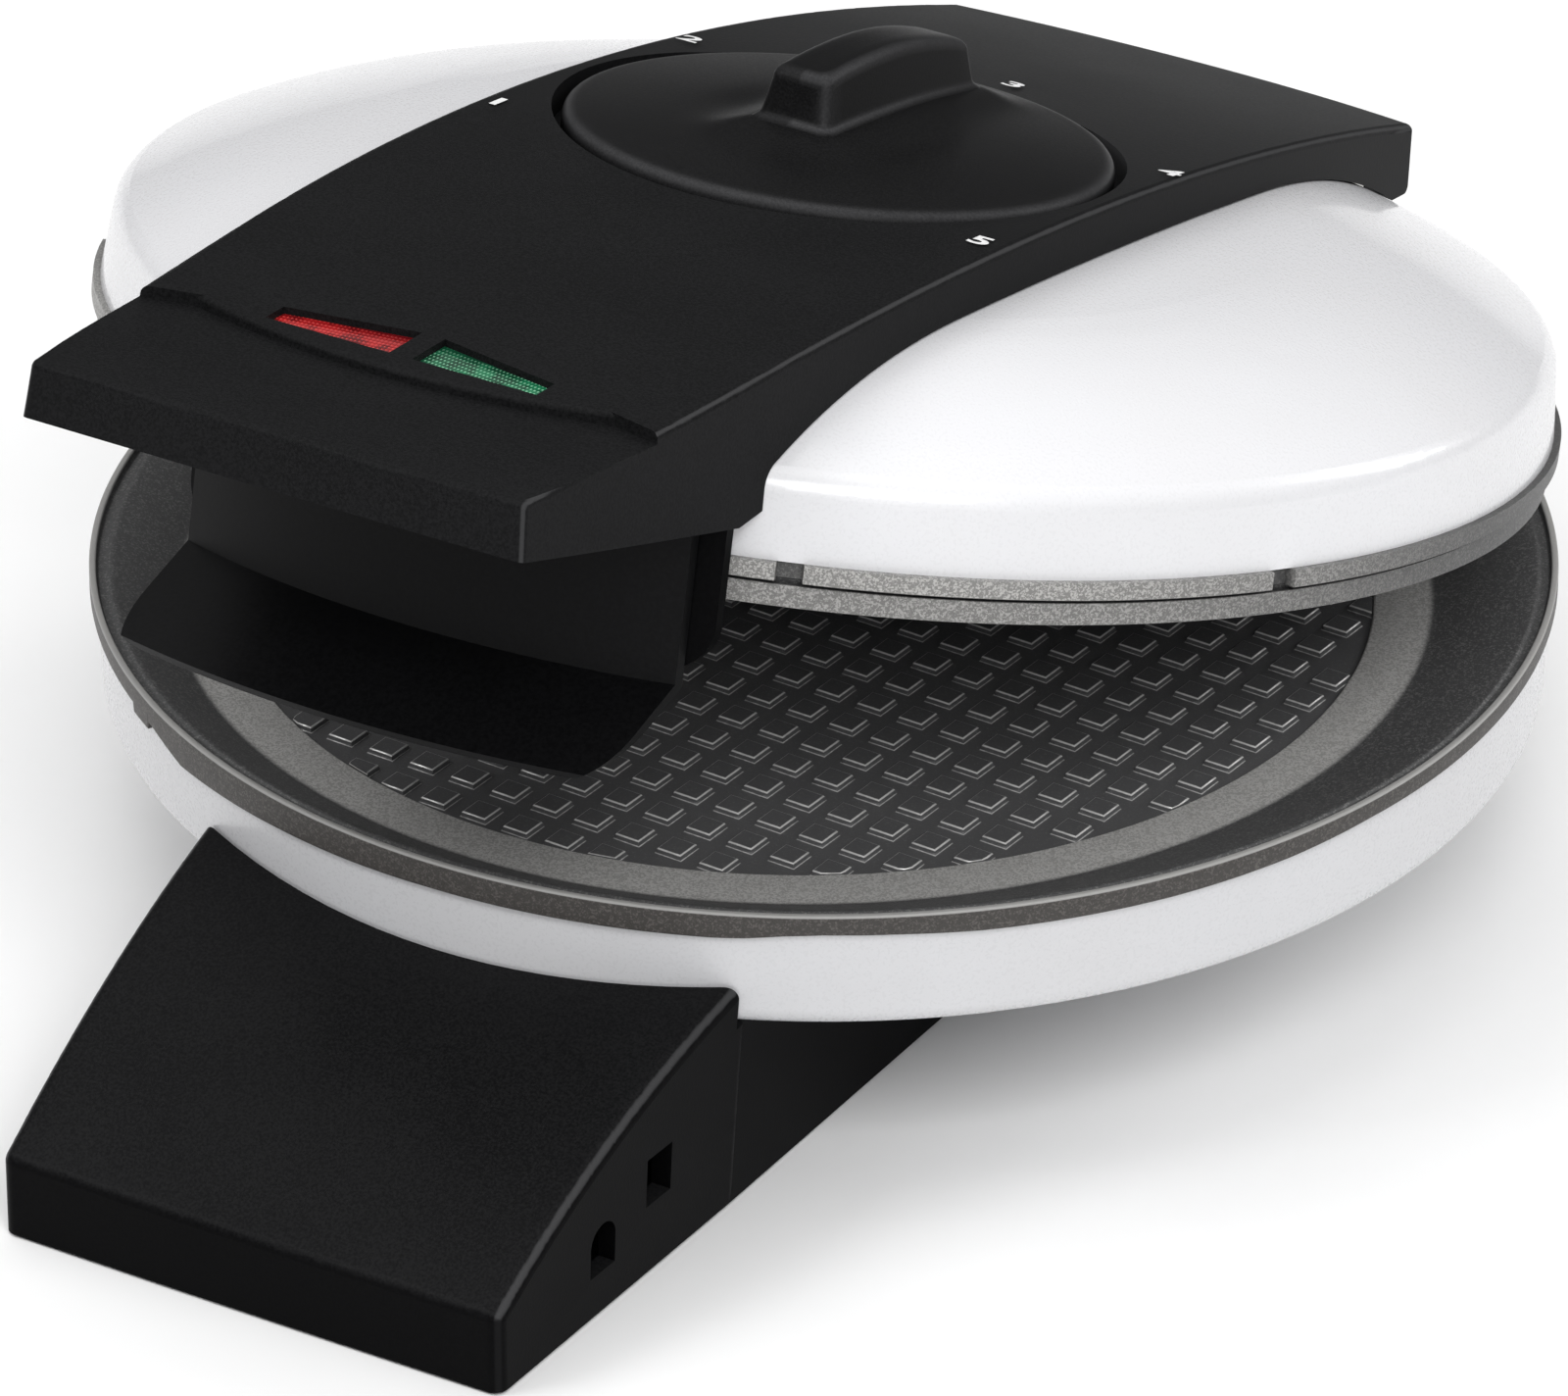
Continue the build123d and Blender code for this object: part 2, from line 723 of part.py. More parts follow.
# Screws that draw the lower plate down onto the shell and the base
plate_screws = screws(
    plate_boss_spots,
    lambda x, y: shell_floor_z - moulding,
    lambda x, y: shell_floor_top + screw_bite,
)
plate_screws.label = "plate_screws"
export_step(plate_screws, "parts/plate_screws.step")

# Terminal block on the base cover, below the ends of the lower element
terminal_block_y = element_r * cos(radians(terminal_half_angle))
with BuildPart() as terminal_block:
    with BuildSketch(level(base_plate_top, terminal_block_y)):
        Rectangle(terminal_block_width, terminal_block_depth)
    extrude(amount=terminal_block_height)
    with BuildSketch(level(base_plate_top + terminal_block_height, terminal_block_y)):
        with GridLocations(terminal_block_width / 3, 0, 3, 1):
            Circle(terminal_block_width / 10)
    extrude(amount=-terminal_block_height / 2, mode=Mode.SUBTRACT)

terminal_block.part.label = "terminal_block"
export_step(terminal_block.part, "parts/terminal_block.step")

# Cord gland: a rubber bush in the back of the base, its flange outside
back_wall = Plane.XZ.offset(-(plate_back + block_back))
with BuildPart() as cord_gland:
    with BuildSketch(back_wall):
        with Locations((gland_x, shell_floor_z / 2)):
            Circle(gland_r + gland_flange)
    extrude(amount=-gland_flange)
    with BuildSketch(back_wall):
        with Locations((gland_x, shell_floor_z / 2)):
            Circle(gland_r)
    extrude(amount=2 * moulding)
    with BuildSketch(back_wall):
        with Locations((gland_x, shell_floor_z / 2)):
            Circle(gland_r - gland_flange)
    extrude(amount=2 * moulding, both=True, mode=Mode.SUBTRACT)

cord_gland.part.label = "cord_gland"
export_step(cord_gland.part, "parts/cord_gland.step")

# Hinge pin through both lugs of the tower
with BuildPart() as hinge_pin:
    with BuildSketch(Plane.YZ):
        with Locations((hinge_y, hinge_z)):
            Circle(hinge_pin_r)
    extrude(amount=tower_half, both=True)
    chamfer(hinge_pin.edges().filter_by(GeomType.CIRCLE), hinge_pin_r / 5)

hinge_pin.part.label = "hinge_pin"
export_step(hinge_pin.part, "parts/hinge_pin.step")

# Upper plate: cast aluminium with two outer steps, a raised ring below and the same field of pads
rim_wall = 4 * sheet
rim_wall_r = upper_shell_r - rim_wall
with BuildPart() as upper_plate:
    with BuildSketch(section()):
        with BuildLine():
            Polyline(
                (0, upper_edge_z),
                (lower_tier_r, upper_edge_z),
                (lower_tier_r, tier_z),
                (upper_tier_r, tier_z),
                (upper_tier_r, shell_edge_z),
                (rim_wall_r, shell_edge_z),
                (rim_wall_r, upper_plate_top_z),
                (0, upper_plate_top_z),
                close=True,
            )
        make_face()
    revolve(axis=plate_axis)
    with BuildSketch(level(upper_edge_z)):
        Circle(flange_r - rim_wall)
    with BuildSketch(level(upper_face_z, -bake_shift)):
        Circle(ring_r - closed_gap)
    loft()
    with BuildSketch(level(upper_face_z, -bake_shift)):
        Circle(field_r)
    extrude(amount=field_drop, mode=Mode.SUBTRACT)
    with Locations(level(upper_face_z + field_drop, -bake_shift).rotated((0, 0, pad_turn))):
        with Locations(*pad_places):
            Box(pad, pad, pad_height, align=(Align.CENTER, Align.CENTER, Align.MAX))
    for x, y in lid_screw_spots:
        boss_top = under_dome_z(hypot(x, y) + boss_r) - seat_gap
        with BuildSketch(level(upper_plate_top_z, y)):
            with Locations((x, 0)):
                Circle(boss_r)
        extrude(amount=boss_top - upper_plate_top_z)
        with BuildSketch(level(boss_top, y)):
            with Locations((x, 0)):
                Circle(screw_r + run_gap)
        extrude(amount=-2 * screw_bite, mode=Mode.SUBTRACT)
    with BuildSketch(level(tier_z)):
        for angle in tier_notch_angles:
            for side in (-1, 1):
                with PolarLocations(upper_tier_r, 1, start_angle=-90 + side * angle):
                    Rectangle(2 * (upper_tier_r - lower_tier_r), tier_notch)
    extrude(amount=upper_tier, mode=Mode.SUBTRACT)

upper_plate.part = swing(upper_plate.part)
upper_plate.part.label = "upper_plate"
export_step(upper_plate.part, "parts/upper_plate.step")


def dome_solid(grow):
    """Solid inside the upper shell's outer face, that face moved outwards by grow."""
    start_turn = dome_turn(shoulder_start_r)
    wall_turn = dome_turn(upper_wall_top_r)
    crown_centre = crown_z - crown_radius
    shoulder_centre = (
        shoulder_start_r - shoulder_radius * sin(start_turn),
        crown_centre + (crown_radius - shoulder_radius) * cos(start_turn),
    )
    with BuildPart() as body:
        with BuildSketch(section()):
            with BuildLine():
                crown = CenterArc((0, crown_centre), crown_radius + grow, 90, -degrees(start_turn))
                shoulder = CenterArc(
                    shoulder_centre,
                    shoulder_radius + grow,
                    90 - degrees(start_turn),
                    -degrees(wall_turn - start_turn),
                )
                Polyline(
                    shoulder @ 1, (upper_shell_r + grow, shell_edge_z), (0, shell_edge_z), crown @ 0
                )
            make_face()
        revolve(axis=plate_axis)
        rings = body.edges().filter_by(GeomType.CIRCLE).group_by(Axis.Z)
        fillet(rings[1], shoulder_round + grow)
    return body.part


# Upper shell: white sheet steel with an upright wall, a rounded shoulder and a flat dome
with BuildPart() as upper_shell:
    add(dome_solid(0))
    add(dome_solid(-sheet), mode=Mode.SUBTRACT)
    with BuildSketch(level(shell_edge_z)):
        Circle(shell_hole_r)
        with Locations(*lid_screw_spots, *cover_screw_spots):
            Circle(screw_r + screw_gap)
    extrude(amount=2 * crown_rise, mode=Mode.SUBTRACT)
    with BuildSketch(Plane.XZ.offset(-plate_back)):
        with Locations((-arm_screw_x, arm_screw_z), (arm_screw_x, arm_screw_z)):
            Circle(screw_r + screw_gap)
    extrude(amount=-2 * upper_shell_r, mode=Mode.SUBTRACT)

upper_shell.part = swing(upper_shell.part)
upper_shell.part.label = "upper_shell"
export_step(upper_shell.part, "parts/upper_shell.step")

# Screws that hold the upper plate: their heads on the shell, under the bridge
lid_screws = swing(
    screws(
        lid_screw_spots,
        lambda x, y: dome_z(hypot(x, y) - screw_head_r) + seat_gap / 3,
        lambda x, y: under_dome_z(hypot(x, y) + boss_r) - seat_gap - screw_bite,
    )
)
lid_screws.label = "lid_screws"
export_step(lid_screws, "parts/lid_screws.step")

# Upper heating element and its reflector
upper_element_z = upper_plate_top_z + element_tube_r + seat_gap / 3
with BuildPart() as upper_element:
    with BuildLine() as upper_path:
        element_path(upper_element_z, 1)
    tube_path = upper_path.wires()[0]
    with BuildSketch(Plane(origin=tube_path @ 0, z_dir=tube_path % 0)):
        Circle(element_tube_r)
    sweep(path=tube_path)

upper_element.part = swing(upper_element.part)
upper_element.part.label = "upper_element"
export_step(upper_element.part, "parts/upper_element.step")

upper_reflector_z = upper_element_z + element_tube_r + 2 * seat_gap
with BuildPart() as upper_reflector:
    with BuildSketch(section()):
        add(reflector_profile(upper_plate_top_z, upper_reflector_z))
    revolve(axis=plate_axis)
    with BuildSketch(level(upper_plate_top_z)):
        terminal_slot()
        with Locations(*lid_screw_spots):
            Circle(boss_r + seat_gap)
        with Locations((0, dial_y)):
            Rectangle(thermostat_width + 2 * seat_gap, thermostat_width + 2 * seat_gap)
    extrude(amount=crown_rise, mode=Mode.SUBTRACT)

upper_reflector.part = swing(upper_reflector.part)
upper_reflector.part.label = "upper_reflector"
export_step(upper_reflector.part, "parts/upper_reflector.step")

# Thermostat on the upper plate, with a bush round the dial's spindle
bush_z = upper_plate_top_z + thermostat_height
with BuildPart() as thermostat:
    with BuildSketch(level(upper_plate_top_z, dial_y)):
        RectangleRounded(thermostat_width, thermostat_width, edge_soft)
    extrude(amount=thermostat_height)
    with BuildSketch(level(bush_z, dial_y)):
        Circle(spindle_r + moulding)
    extrude(amount=bush_height)
    with BuildSketch(level(bush_z + bush_height, dial_y)):
        Circle(spindle_r + run_gap)
    extrude(amount=-bush_height - spindle_bite, mode=Mode.SUBTRACT)

thermostat.part = swing(thermostat.part)
thermostat.part.label = "thermostat"
export_step(thermostat.part, "parts/thermostat.step")


def bridge_outline(inset, widen):
    """Bridge seen from above, about the plates' axis, moved in by the inset, its sides out by widen."""
    front = bridge_front_half - inset + widen
    middle = bridge_mid_half - inset + widen
    back = bridge_back_half - inset + widen
    nose_y = -bridge_front + inset
    tail_r = back_skirt_r - inset
    tail_y = sqrt(tail_r**2 - back**2)
    with BuildSketch() as plan:
        with BuildLine():
            ThreePointArc((-front, nose_y + front_bow), (0, nose_y), (front, nose_y + front_bow))
            ThreePointArc((front, nose_y + front_bow), (middle, bridge_mid_y), (back, tail_y))
            ThreePointArc((back, tail_y), (0, tail_r), (-back, tail_y))
            ThreePointArc((-back, tail_y), (-middle, bridge_mid_y), (-front, nose_y + front_bow))
        make_face()
    return plan.sketch


side_plane = Plane(origin=(0, plate_back, 0), x_dir=(0, 1, 0), z_dir=(1, 0, 0))
far_front = -1.1 * bridge_front
far_back = 1.1 * back_skirt_r
arc_top_y = arc_start_y + bridge_arc_radius * sin(radians(handle_slope))


def bridge_block(inset, drop, cut_below):
    """Solid under the bridge's top, with flared sides, and open below where it is to cut a hollow."""
    base_z = skirt_z - moulding
    top_z = bridge_z + moulding
    lean = bridge_flare / (bridge_z - skirt_z)
    edge_line = [
        (far_back, bridge_top_z(far_back) - drop),
        (far_back, back_skirt_z),
        (0, back_skirt_z),
        (0, skirt_end_z),
        (skirt_end_y, skirt_end_z),
        (skirt_y, skirt_z),
        (far_front, underside_z(far_front)),
        (far_front, bridge_top_z(far_front) - drop),
    ]
    if cut_below:
        edge_line[1:-1] = [(far_back, base_z), (far_front, base_z)]
    with BuildPart() as body:
        with BuildSketch(level(base_z)):
            add(bridge_outline(inset, bridge_flare + lean * moulding))
        with BuildSketch(level(top_z)):
            add(bridge_outline(inset, -lean * moulding))
        loft(ruled=True)
        with BuildSketch(side_plane):
            with BuildLine():
                Line(edge_line[-1], (arc_start_y, bridge_touch_z - drop))
                ThreePointArc(
                    (arc_start_y, bridge_touch_z - drop), (arc_top_y, bridge_z - drop), edge_line[0]
                )
                Polyline(*edge_line)
            make_face()
        extrude(amount=2 * bridge_mid_half, both=True, mode=Mode.INTERSECT)
    return body.part


# Plane along the straight top of the handle, at the lamps
lamp_plane = Plane(
    origin=(0, plate_back + lamp_near_y, bridge_top_z(lamp_near_y)),
    x_dir=(1, 0, 0),
    z_dir=(0, -sin(radians(handle_slope)), cos(radians(handle_slope))),
)


def lamp_outline(side, grow):
    """One lamp window on the handle's top, to the left (-1) or right (+1), grown by the amount given."""
    with BuildSketch() as window:
        with BuildLine():
            Polyline(
                (side * lamp_inner_x, 0),
                (side * lamp_outer_x, 0),
                (side * lamp_outer_x, lamp_outer_depth),
                (side * lamp_inner_x, lamp_inner_depth),
                close=True,
            )
        make_face()
        if grow != 0:
            offset(amount=grow, kind=Kind.INTERSECTION)
    return window.sketch


# The hollow of the bridge leaves its walls, its bosses and the pan under the dial
with BuildPart() as bridge_hollow:
    add(bridge_block(moulding, moulding, True))
    with BuildSketch(level(skirt_z, dial_y)):
        Circle(pan_r + moulding)
    extrude(amount=bridge_z, mode=Mode.SUBTRACT)
    with BuildSketch(level(skirt_z, 0)):
        with Locations(*cover_screw_spots):
            Circle(boss_r)
    extrude(amount=bridge_z, mode=Mode.SUBTRACT)
    for x, y in handle_screw_spots:
        with BuildSketch(level(underside_z(y - boss_r) + handle_plate + seat_gap / 3, y)):
            with Locations((x, 0)):
                Circle(boss_r)
        extrude(amount=bridge_z, mode=Mode.SUBTRACT)

# The thumb hollow in front of the lamps: a shallow wedge behind the nose
with BuildPart() as scoop:
    with BuildSketch(level(nose_z)):
        with BuildLine():
            ThreePointArc((-scoop_end_x, scoop_end_y), (0, scoop_y), (scoop_end_x, scoop_end_y))
            Polyline(
                (scoop_end_x, scoop_end_y),
                (bridge_mid_half, scoop_side_y),
                (bridge_mid_half, far_front),
                (-bridge_mid_half, far_front),
                (-bridge_mid_half, scoop_side_y),
                (-scoop_end_x, scoop_end_y),
            )
        make_face()
    extrude(amount=bridge_z)
    with BuildSketch(side_plane):
        with BuildLine():
            Polyline(
                (-bridge_front, bridge_front_z),
                (scoop_end_y, bridge_top_z(scoop_end_y) - scoop_depth),
                (scoop_end_y, 2 * bridge_z),
                (-bridge_front, 2 * bridge_z),
                close=True,
            )
        make_face()
    extrude(amount=bridge_mid_half, both=True, mode=Mode.INTERSECT)

# Bridge: one black moulding with the handle, the lamp windows and the pan for the dial
with BuildPart() as bridge_cover:
    add(bridge_block(0, 0, False))
    outline_edges = bridge_cover.edges().filter_by(GeomType.BSPLINE)
    outline_edges = outline_edges.filter_by(lambda edge: (edge @ 0.5).Z > nose_z + edge_soft)
    soft_edges = outline_edges.filter_by(
        lambda edge: abs((edge @ 0.5).X) < edge_soft or (edge @ 0.5).Y < plate_back + bridge_mid_half
    )
    fillet(soft_edges, edge_soft)
    add(scoop.part, mode=Mode.SUBTRACT)
    ledge = bridge_cover.edges().filter_by(lambda edge: abs((edge @ 0.5).X) < scoop_soft)
    fillet(ledge.sort_by_distance((0, plate_back + scoop_y, bridge_top_z(scoop_y)))[0], scoop_soft)
    add(bridge_hollow.part, mode=Mode.SUBTRACT)
    with BuildSketch(level(bridge_z + moulding, dial_y)):
        Circle(pan_r)
    extrude(amount=-dial_pan_depth - moulding, mode=Mode.SUBTRACT)
    with BuildSketch(level(dial_floor_z - dial_pan_floor, dial_y)):
        Circle(pan_r + moulding)
    extrude(amount=-dial_pan_depth, mode=Mode.SUBTRACT)
    with BuildSketch(level(bridge_z, dial_y)):
        Circle(hub_r + 2 * seat_gap)
    extrude(amount=-2 * dial_pan_depth, mode=Mode.SUBTRACT)
    add(dome_solid(seat_gap), mode=Mode.SUBTRACT)
    with BuildSketch(lamp_plane):
        add(lamp_outline(-1, 0))
        add(lamp_outline(1, 0))
    extrude(amount=2 * moulding, both=True, mode=Mode.SUBTRACT)
    for x, y in cover_screw_spots:
        with BuildSketch(level(dome_z(hypot(x, y) + boss_r), y)):
            with Locations((x, 0)):
                Circle(screw_r + run_gap)
        extrude(amount=1.1 * screw_bite, mode=Mode.SUBTRACT)
    for x, y in handle_screw_spots:
        with BuildSketch(level(underside_z(y), y)):
            with Locations((x, 0)):
                Circle(screw_r + run_gap)
        extrude(amount=handle_plate + 1.2 * screw_bite, mode=Mode.SUBTRACT)

bridge_cover.part = swing(bridge_cover.part)
bridge_cover.part.label = "bridge_cover"
export_step(bridge_cover.part, "parts/bridge_cover.step")

# Screws that hold the bridge, from inside the shell up into the bridge's bosses
cover_screws = swing(
    screws(
        cover_screw_spots,
        lambda x, y: under_dome_z(hypot(x, y) + screw_head_r),
        lambda x, y: dome_z(hypot(x, y) + boss_r) + screw_bite,
    )
)
cover_screws.label = "cover_screws"
export_step(cover_screws, "parts/cover_screws.step")

# Underside of the handle: a plate between the bridge's side walls
under_widen = bridge_flare * (bridge_z - nose_z) / (bridge_z - skirt_z)
with BuildPart() as handle_underside:
    with BuildSketch(level(0)):
        add(bridge_outline(moulding + seat_gap, under_widen))
    extrude(amount=bridge_z)
    with BuildSketch(side_plane):
        with BuildLine():
            Polyline(
                (far_front, underside_z(far_front)),
                (skirt_end_y, underside_z(skirt_end_y)),
                (skirt_end_y, underside_z(skirt_end_y) + handle_plate),
                (far_front, underside_z(far_front) + handle_plate),
                close=True,
            )
        make_face()
    extrude(amount=bridge_mid_half, both=True, mode=Mode.INTERSECT)
    with BuildSketch(level(0)):
        Circle(upper_shell_r + seat_gap)
        with Locations(*handle_screw_spots):
            Circle(screw_r + screw_gap)
    extrude(amount=bridge_z, mode=Mode.SUBTRACT)

handle_underside.part = swing(handle_underside.part)
handle_underside.part.label = "handle_underside"
export_step(handle_underside.part, "parts/handle_underside.step")

# Screws of the handle's underside, driven up into the bridge
handle_screws = swing(
    screws(
        handle_screw_spots,
        lambda x, y: underside_z(y + screw_head_r) - seat_gap / 3,
        lambda x, y: underside_z(y) + handle_plate + screw_bite,
    )
)
handle_screws.label = "handle_screws"
export_step(handle_screws, "parts/handle_screws.step")


def hanging_wall(profile, half, low_z, corner):
    """Curved wall under the handle: a turned profile cut to width, with rounded lower corners."""
    with BuildPart() as wall:
        with BuildSketch(section()):
            with BuildLine():
                Polyline(*profile, close=True)
            make_face()
        revolve(axis=plate_axis)
        with BuildSketch(Plane.XZ.offset(-plate_back)):
            with Locations((0, low_z)):
                Rectangle(2 * half, bridge_z, align=(Align.CENTER, Align.MIN))
            fillet(vertices().group_by(Axis.Z)[0], corner)
        extrude(amount=bridge_front, mode=Mode.INTERSECT)
        with BuildSketch(side_plane):
            with BuildLine():
                Polyline(
                    (far_front, 0),
                    (far_front, underside_z(far_front)),
                    (0, underside_z(0)),
                    (0, 0),
                    close=True,
                )
            make_face()
        extrude(amount=bridge_front, both=True, mode=Mode.INTERSECT)
    return wall.part


# Inner wall under the handle, close to the rim of the plates
inner_wall = swing(
    hanging_wall(
        [
            (inner_wall_r - inner_wall_thickness, inner_wall_z),
            (inner_wall_r, inner_wall_z),
            (inner_wall_r, bridge_z),
            (inner_wall_r - inner_wall_thickness, bridge_z),
        ],
        inner_wall_half,
        inner_wall_z,
        inner_wall_corner,
    )
)
inner_wall.label = "inner_wall"
export_step(inner_wall, "parts/inner_wall.step")

# Front shield: upright below the handle, then flared out to keep fingers off the hot rim
flare_run = shield_foot_r - shield_r
flare_fall = shield_crease_z - shield_foot_z
flare_reach = hypot(flare_run, flare_fall)
front_shield = swing(
    hanging_wall(
        [
            (shield_r - shield_thickness, bridge_z),
            (shield_r, bridge_z),
            (shield_r, shield_crease_z),
            (shield_foot_r, shield_foot_z),
            (
                shield_foot_r - shield_foot_thickness * flare_fall / flare_reach,
                shield_foot_z - shield_foot_thickness * flare_run / flare_reach,
            ),
            (shield_r - shield_thickness, shield_crease_z - shield_thickness / 2),
        ],
        shield_half,
        shield_foot_z - shield_foot_thickness * flare_run / flare_reach,
        shield_corner,
    )
)
front_shield.label = "front_shield"
export_step(front_shield, "parts/front_shield.step")

# Hinge arm: a block behind the shell with a round knuckle on the pin
arm_low_z = hinge_z - 0.8 * hinge_knuckle_r
arm_high_z = back_skirt_z - seat_gap
with BuildPart() as hinge_arm:
    with BuildSketch(Plane.YZ):
        with BuildLine():
            Polyline(
                (plate_back + upper_shell_r - arm_reach, arm_low_z),
                (hinge_y, arm_low_z),
                (hinge_y, hinge_z),
                (plate_back + back_skirt_r - moulding, arm_high_z),
                (plate_back + upper_shell_r - arm_reach, arm_high_z),
                close=True,
            )
        make_face()
        with Locations((hinge_y, hinge_z)):
            Circle(hinge_knuckle_r)
    extrude(amount=arm_half, both=True)
    add(dome_solid(seat_gap / 3), mode=Mode.SUBTRACT)
    with BuildSketch(Plane.YZ):
        with Locations((hinge_y, hinge_z)):
            Circle(hinge_pin_r + run_gap)
    extrude(amount=arm_half, both=True, mode=Mode.SUBTRACT)
    with BuildSketch(Plane.XZ.offset(-plate_back)):
        with Locations((-arm_screw_x, arm_screw_z), (arm_screw_x, arm_screw_z)):
            Circle(screw_r + run_gap)
    extrude(amount=-upper_shell_r - 1.2 * screw_bite, mode=Mode.SUBTRACT)

hinge_arm.part = swing(hinge_arm.part)
hinge_arm.part.label = "hinge_arm"
export_step(hinge_arm.part, "parts/hinge_arm.step")

# Screws of the hinge arm, driven backwards from inside the shell
inner_face_r = upper_wall_top_r - sheet - seat_gap
arm_head_y = sqrt(inner_face_r**2 - (arm_screw_x + screw_head_r) ** 2)
with BuildPart() as arm_screws:
    with BuildSketch(Plane.XZ.offset(-(plate_back + arm_head_y))):
        with Locations((-arm_screw_x, arm_screw_z), (arm_screw_x, arm_screw_z)):
            Circle(screw_head_r)
    extrude(amount=screw_head)
    with BuildSketch(Plane.XZ.offset(-(plate_back + arm_head_y))):
        with Locations((-arm_screw_x, arm_screw_z), (arm_screw_x, arm_screw_z)):
            Circle(screw_r)
    extrude(amount=-(upper_shell_r + screw_bite - arm_head_y))
    with BuildSketch(Plane.XZ.offset(-(plate_back + arm_head_y - screw_head))):
        with Locations((-arm_screw_x, arm_screw_z), (arm_screw_x, arm_screw_z)):
            Rectangle(screw_head_r * 1.3, screw_head_r * 0.25)
            Rectangle(screw_head_r * 0.25, screw_head_r * 1.3)
    extrude(amount=-screw_head * 0.4, mode=Mode.SUBTRACT)

arm_screws.part = swing(arm_screws.part)
arm_screws.part.label = "arm_screws"
export_step(arm_screws.part, "parts/arm_screws.step")


def lens(side):
    """Clear coloured lens, sunk into its window and held by a flange below the wall."""
    with BuildPart() as clear:
        with BuildSketch(lamp_plane.offset(-lens_sink)):
            add(lamp_outline(side, -run_gap))
        extrude(amount=-(moulding - lens_sink))
        with BuildSketch(lamp_plane.offset(-moulding)):
            add(lamp_outline(side, lens_flange - run_gap))
        extrude(amount=-lens_flange_thickness)
    return swing(clear.part)


# Lenses of the two lamps
red_lens = lens(-1)
red_lens.label = "red_lens"
export_step(red_lens, "parts/red_lens.step")

green_lens = lens(1)
green_lens.label = "green_lens"
export_step(green_lens, "parts/green_lens.step")

# Lamp holder in the handle, standing on the underside plate, and the two lamps on it
lamp_x = (lamp_inner_x + lamp_outer_x) / 2
lamp_mid_depth = lamp_inner_depth / 2
lamp_foot_depth = moulding + lens_flange_thickness + lamp_length + seat_gap
holder_plane = lamp_plane.offset(-lamp_foot_depth)
post_y = lamp_near_y + lamp_mid_depth
with BuildPart() as lamp_holder:
    with BuildSketch(holder_plane):
        with Locations((0, lamp_mid_depth)):
            Rectangle(2 * holder_half, holder_depth)
    extrude(amount=-holder_thickness)
    with BuildSketch(level(underside_z(post_y - lamp_r) + handle_plate, post_y)):
        with GridLocations(2 * (holder_half - 2 * lamp_r), 0, 2, 1):
            Circle(lamp_r)
    extrude(until=Until.NEXT)

lamp_holder.part = swing(lamp_holder.part)
lamp_holder.part.label = "lamp_holder"
export_step(lamp_holder.part, "parts/lamp_holder.step")

with BuildPart() as signal_lamps:
    with BuildSketch(holder_plane):
        with Locations((-lamp_x, lamp_mid_depth), (lamp_x, lamp_mid_depth)):
            Circle(lamp_r)
    extrude(amount=lamp_length)
    chamfer(signal_lamps.edges().filter_by(GeomType.CIRCLE), lamp_r / 5)

signal_lamps.part = swing(signal_lamps.part)
signal_lamps.part.label = "signal_lamps"
export_step(signal_lamps.part, "parts/signal_lamps.step")

# Dial: a domed disc with a hub below and a grip rib across its middle
disc_z = dial_floor_z + dial_float
disc_rim_z = disc_z + dial_thickness
disc_top_z = disc_rim_z + dial_dome
rib_top_z = disc_top_z + rib_height
hub_low_z = bush_z + bush_height + 2 * dial_float
rib_y = dial_y + rib_shift
rib_near = rib_shift - rib_length / 2
rib_far = rib_shift + rib_length / 2
rib_spread = 2 * (disc_top_z + rib_foot - disc_rim_z)
with BuildPart() as dial_rib:
    with BuildSketch(level(disc_rim_z, rib_y)):
        RectangleRounded(rib_width, rib_length, edge_soft)
    with BuildSketch(level(rib_top_z, rib_y)):
        RectangleRounded(rib_top_width, rib_length - edge_soft, edge_soft)
    loft(ruled=True)
    with BuildSketch(Plane(origin=(0, plate_back + dial_y, 0), x_dir=(0, 1, 0), z_dir=(1, 0, 0))):
        with BuildLine():
            ThreePointArc(
                (rib_near, rib_top_z - rib_near_drop),
                (rib_crest, rib_top_z),
                (rib_far, rib_top_z - rib_far_drop),
            )
            Polyline(
                (rib_far, rib_top_z - rib_far_drop),
                (rib_far, disc_rim_z),
                (rib_near, disc_rim_z),
                (rib_near, rib_top_z - rib_near_drop),
            )
        make_face()
    extrude(amount=rib_width, both=True, mode=Mode.INTERSECT)
    fillet(dial_rib.faces().sort_by(Axis.Z)[-1].edges(), rib_soft)
    with BuildSketch(level(disc_rim_z, rib_y)):
        RectangleRounded(rib_width + rib_spread, rib_length + rib_spread, rib_spread / 2)
    with BuildSketch(level(disc_top_z + rib_foot, rib_y)):
        RectangleRounded(rib_width, rib_length, edge_soft)
    loft(ruled=True)

with BuildPart() as dial_knob:
    with BuildSketch(section(0, dial_y)):
        with BuildLine():
            Polyline((0, disc_top_z), (0, disc_z), (dial_r, disc_z), (dial_r, disc_rim_z))
            ThreePointArc(
                (dial_r, disc_rim_z), (dial_r / 2, disc_rim_z + 0.75 * dial_dome), (0, disc_top_z)
            )
        make_face()
    revolve(axis=upright(0, dial_y))
    rim = dial_knob.edges().filter_by(GeomType.CIRCLE).sort_by(SortBy.LENGTH)[-2:]
    fillet(rim.sort_by(Axis.Z)[-1], edge_soft)
    with BuildSketch(level(disc_z, dial_y)):
        Circle(hub_r)
    extrude(amount=hub_low_z - disc_z)
    with BuildSketch(level(hub_low_z, dial_y)):
        Circle(spindle_r + run_gap)
    extrude(amount=disc_z - hub_low_z, mode=Mode.SUBTRACT)
    add(dial_rib.part)

dial_knob.part = swing(dial_knob.part)
dial_knob.part.label = "dial_knob"
export_step(dial_knob.part, "parts/dial_knob.step")

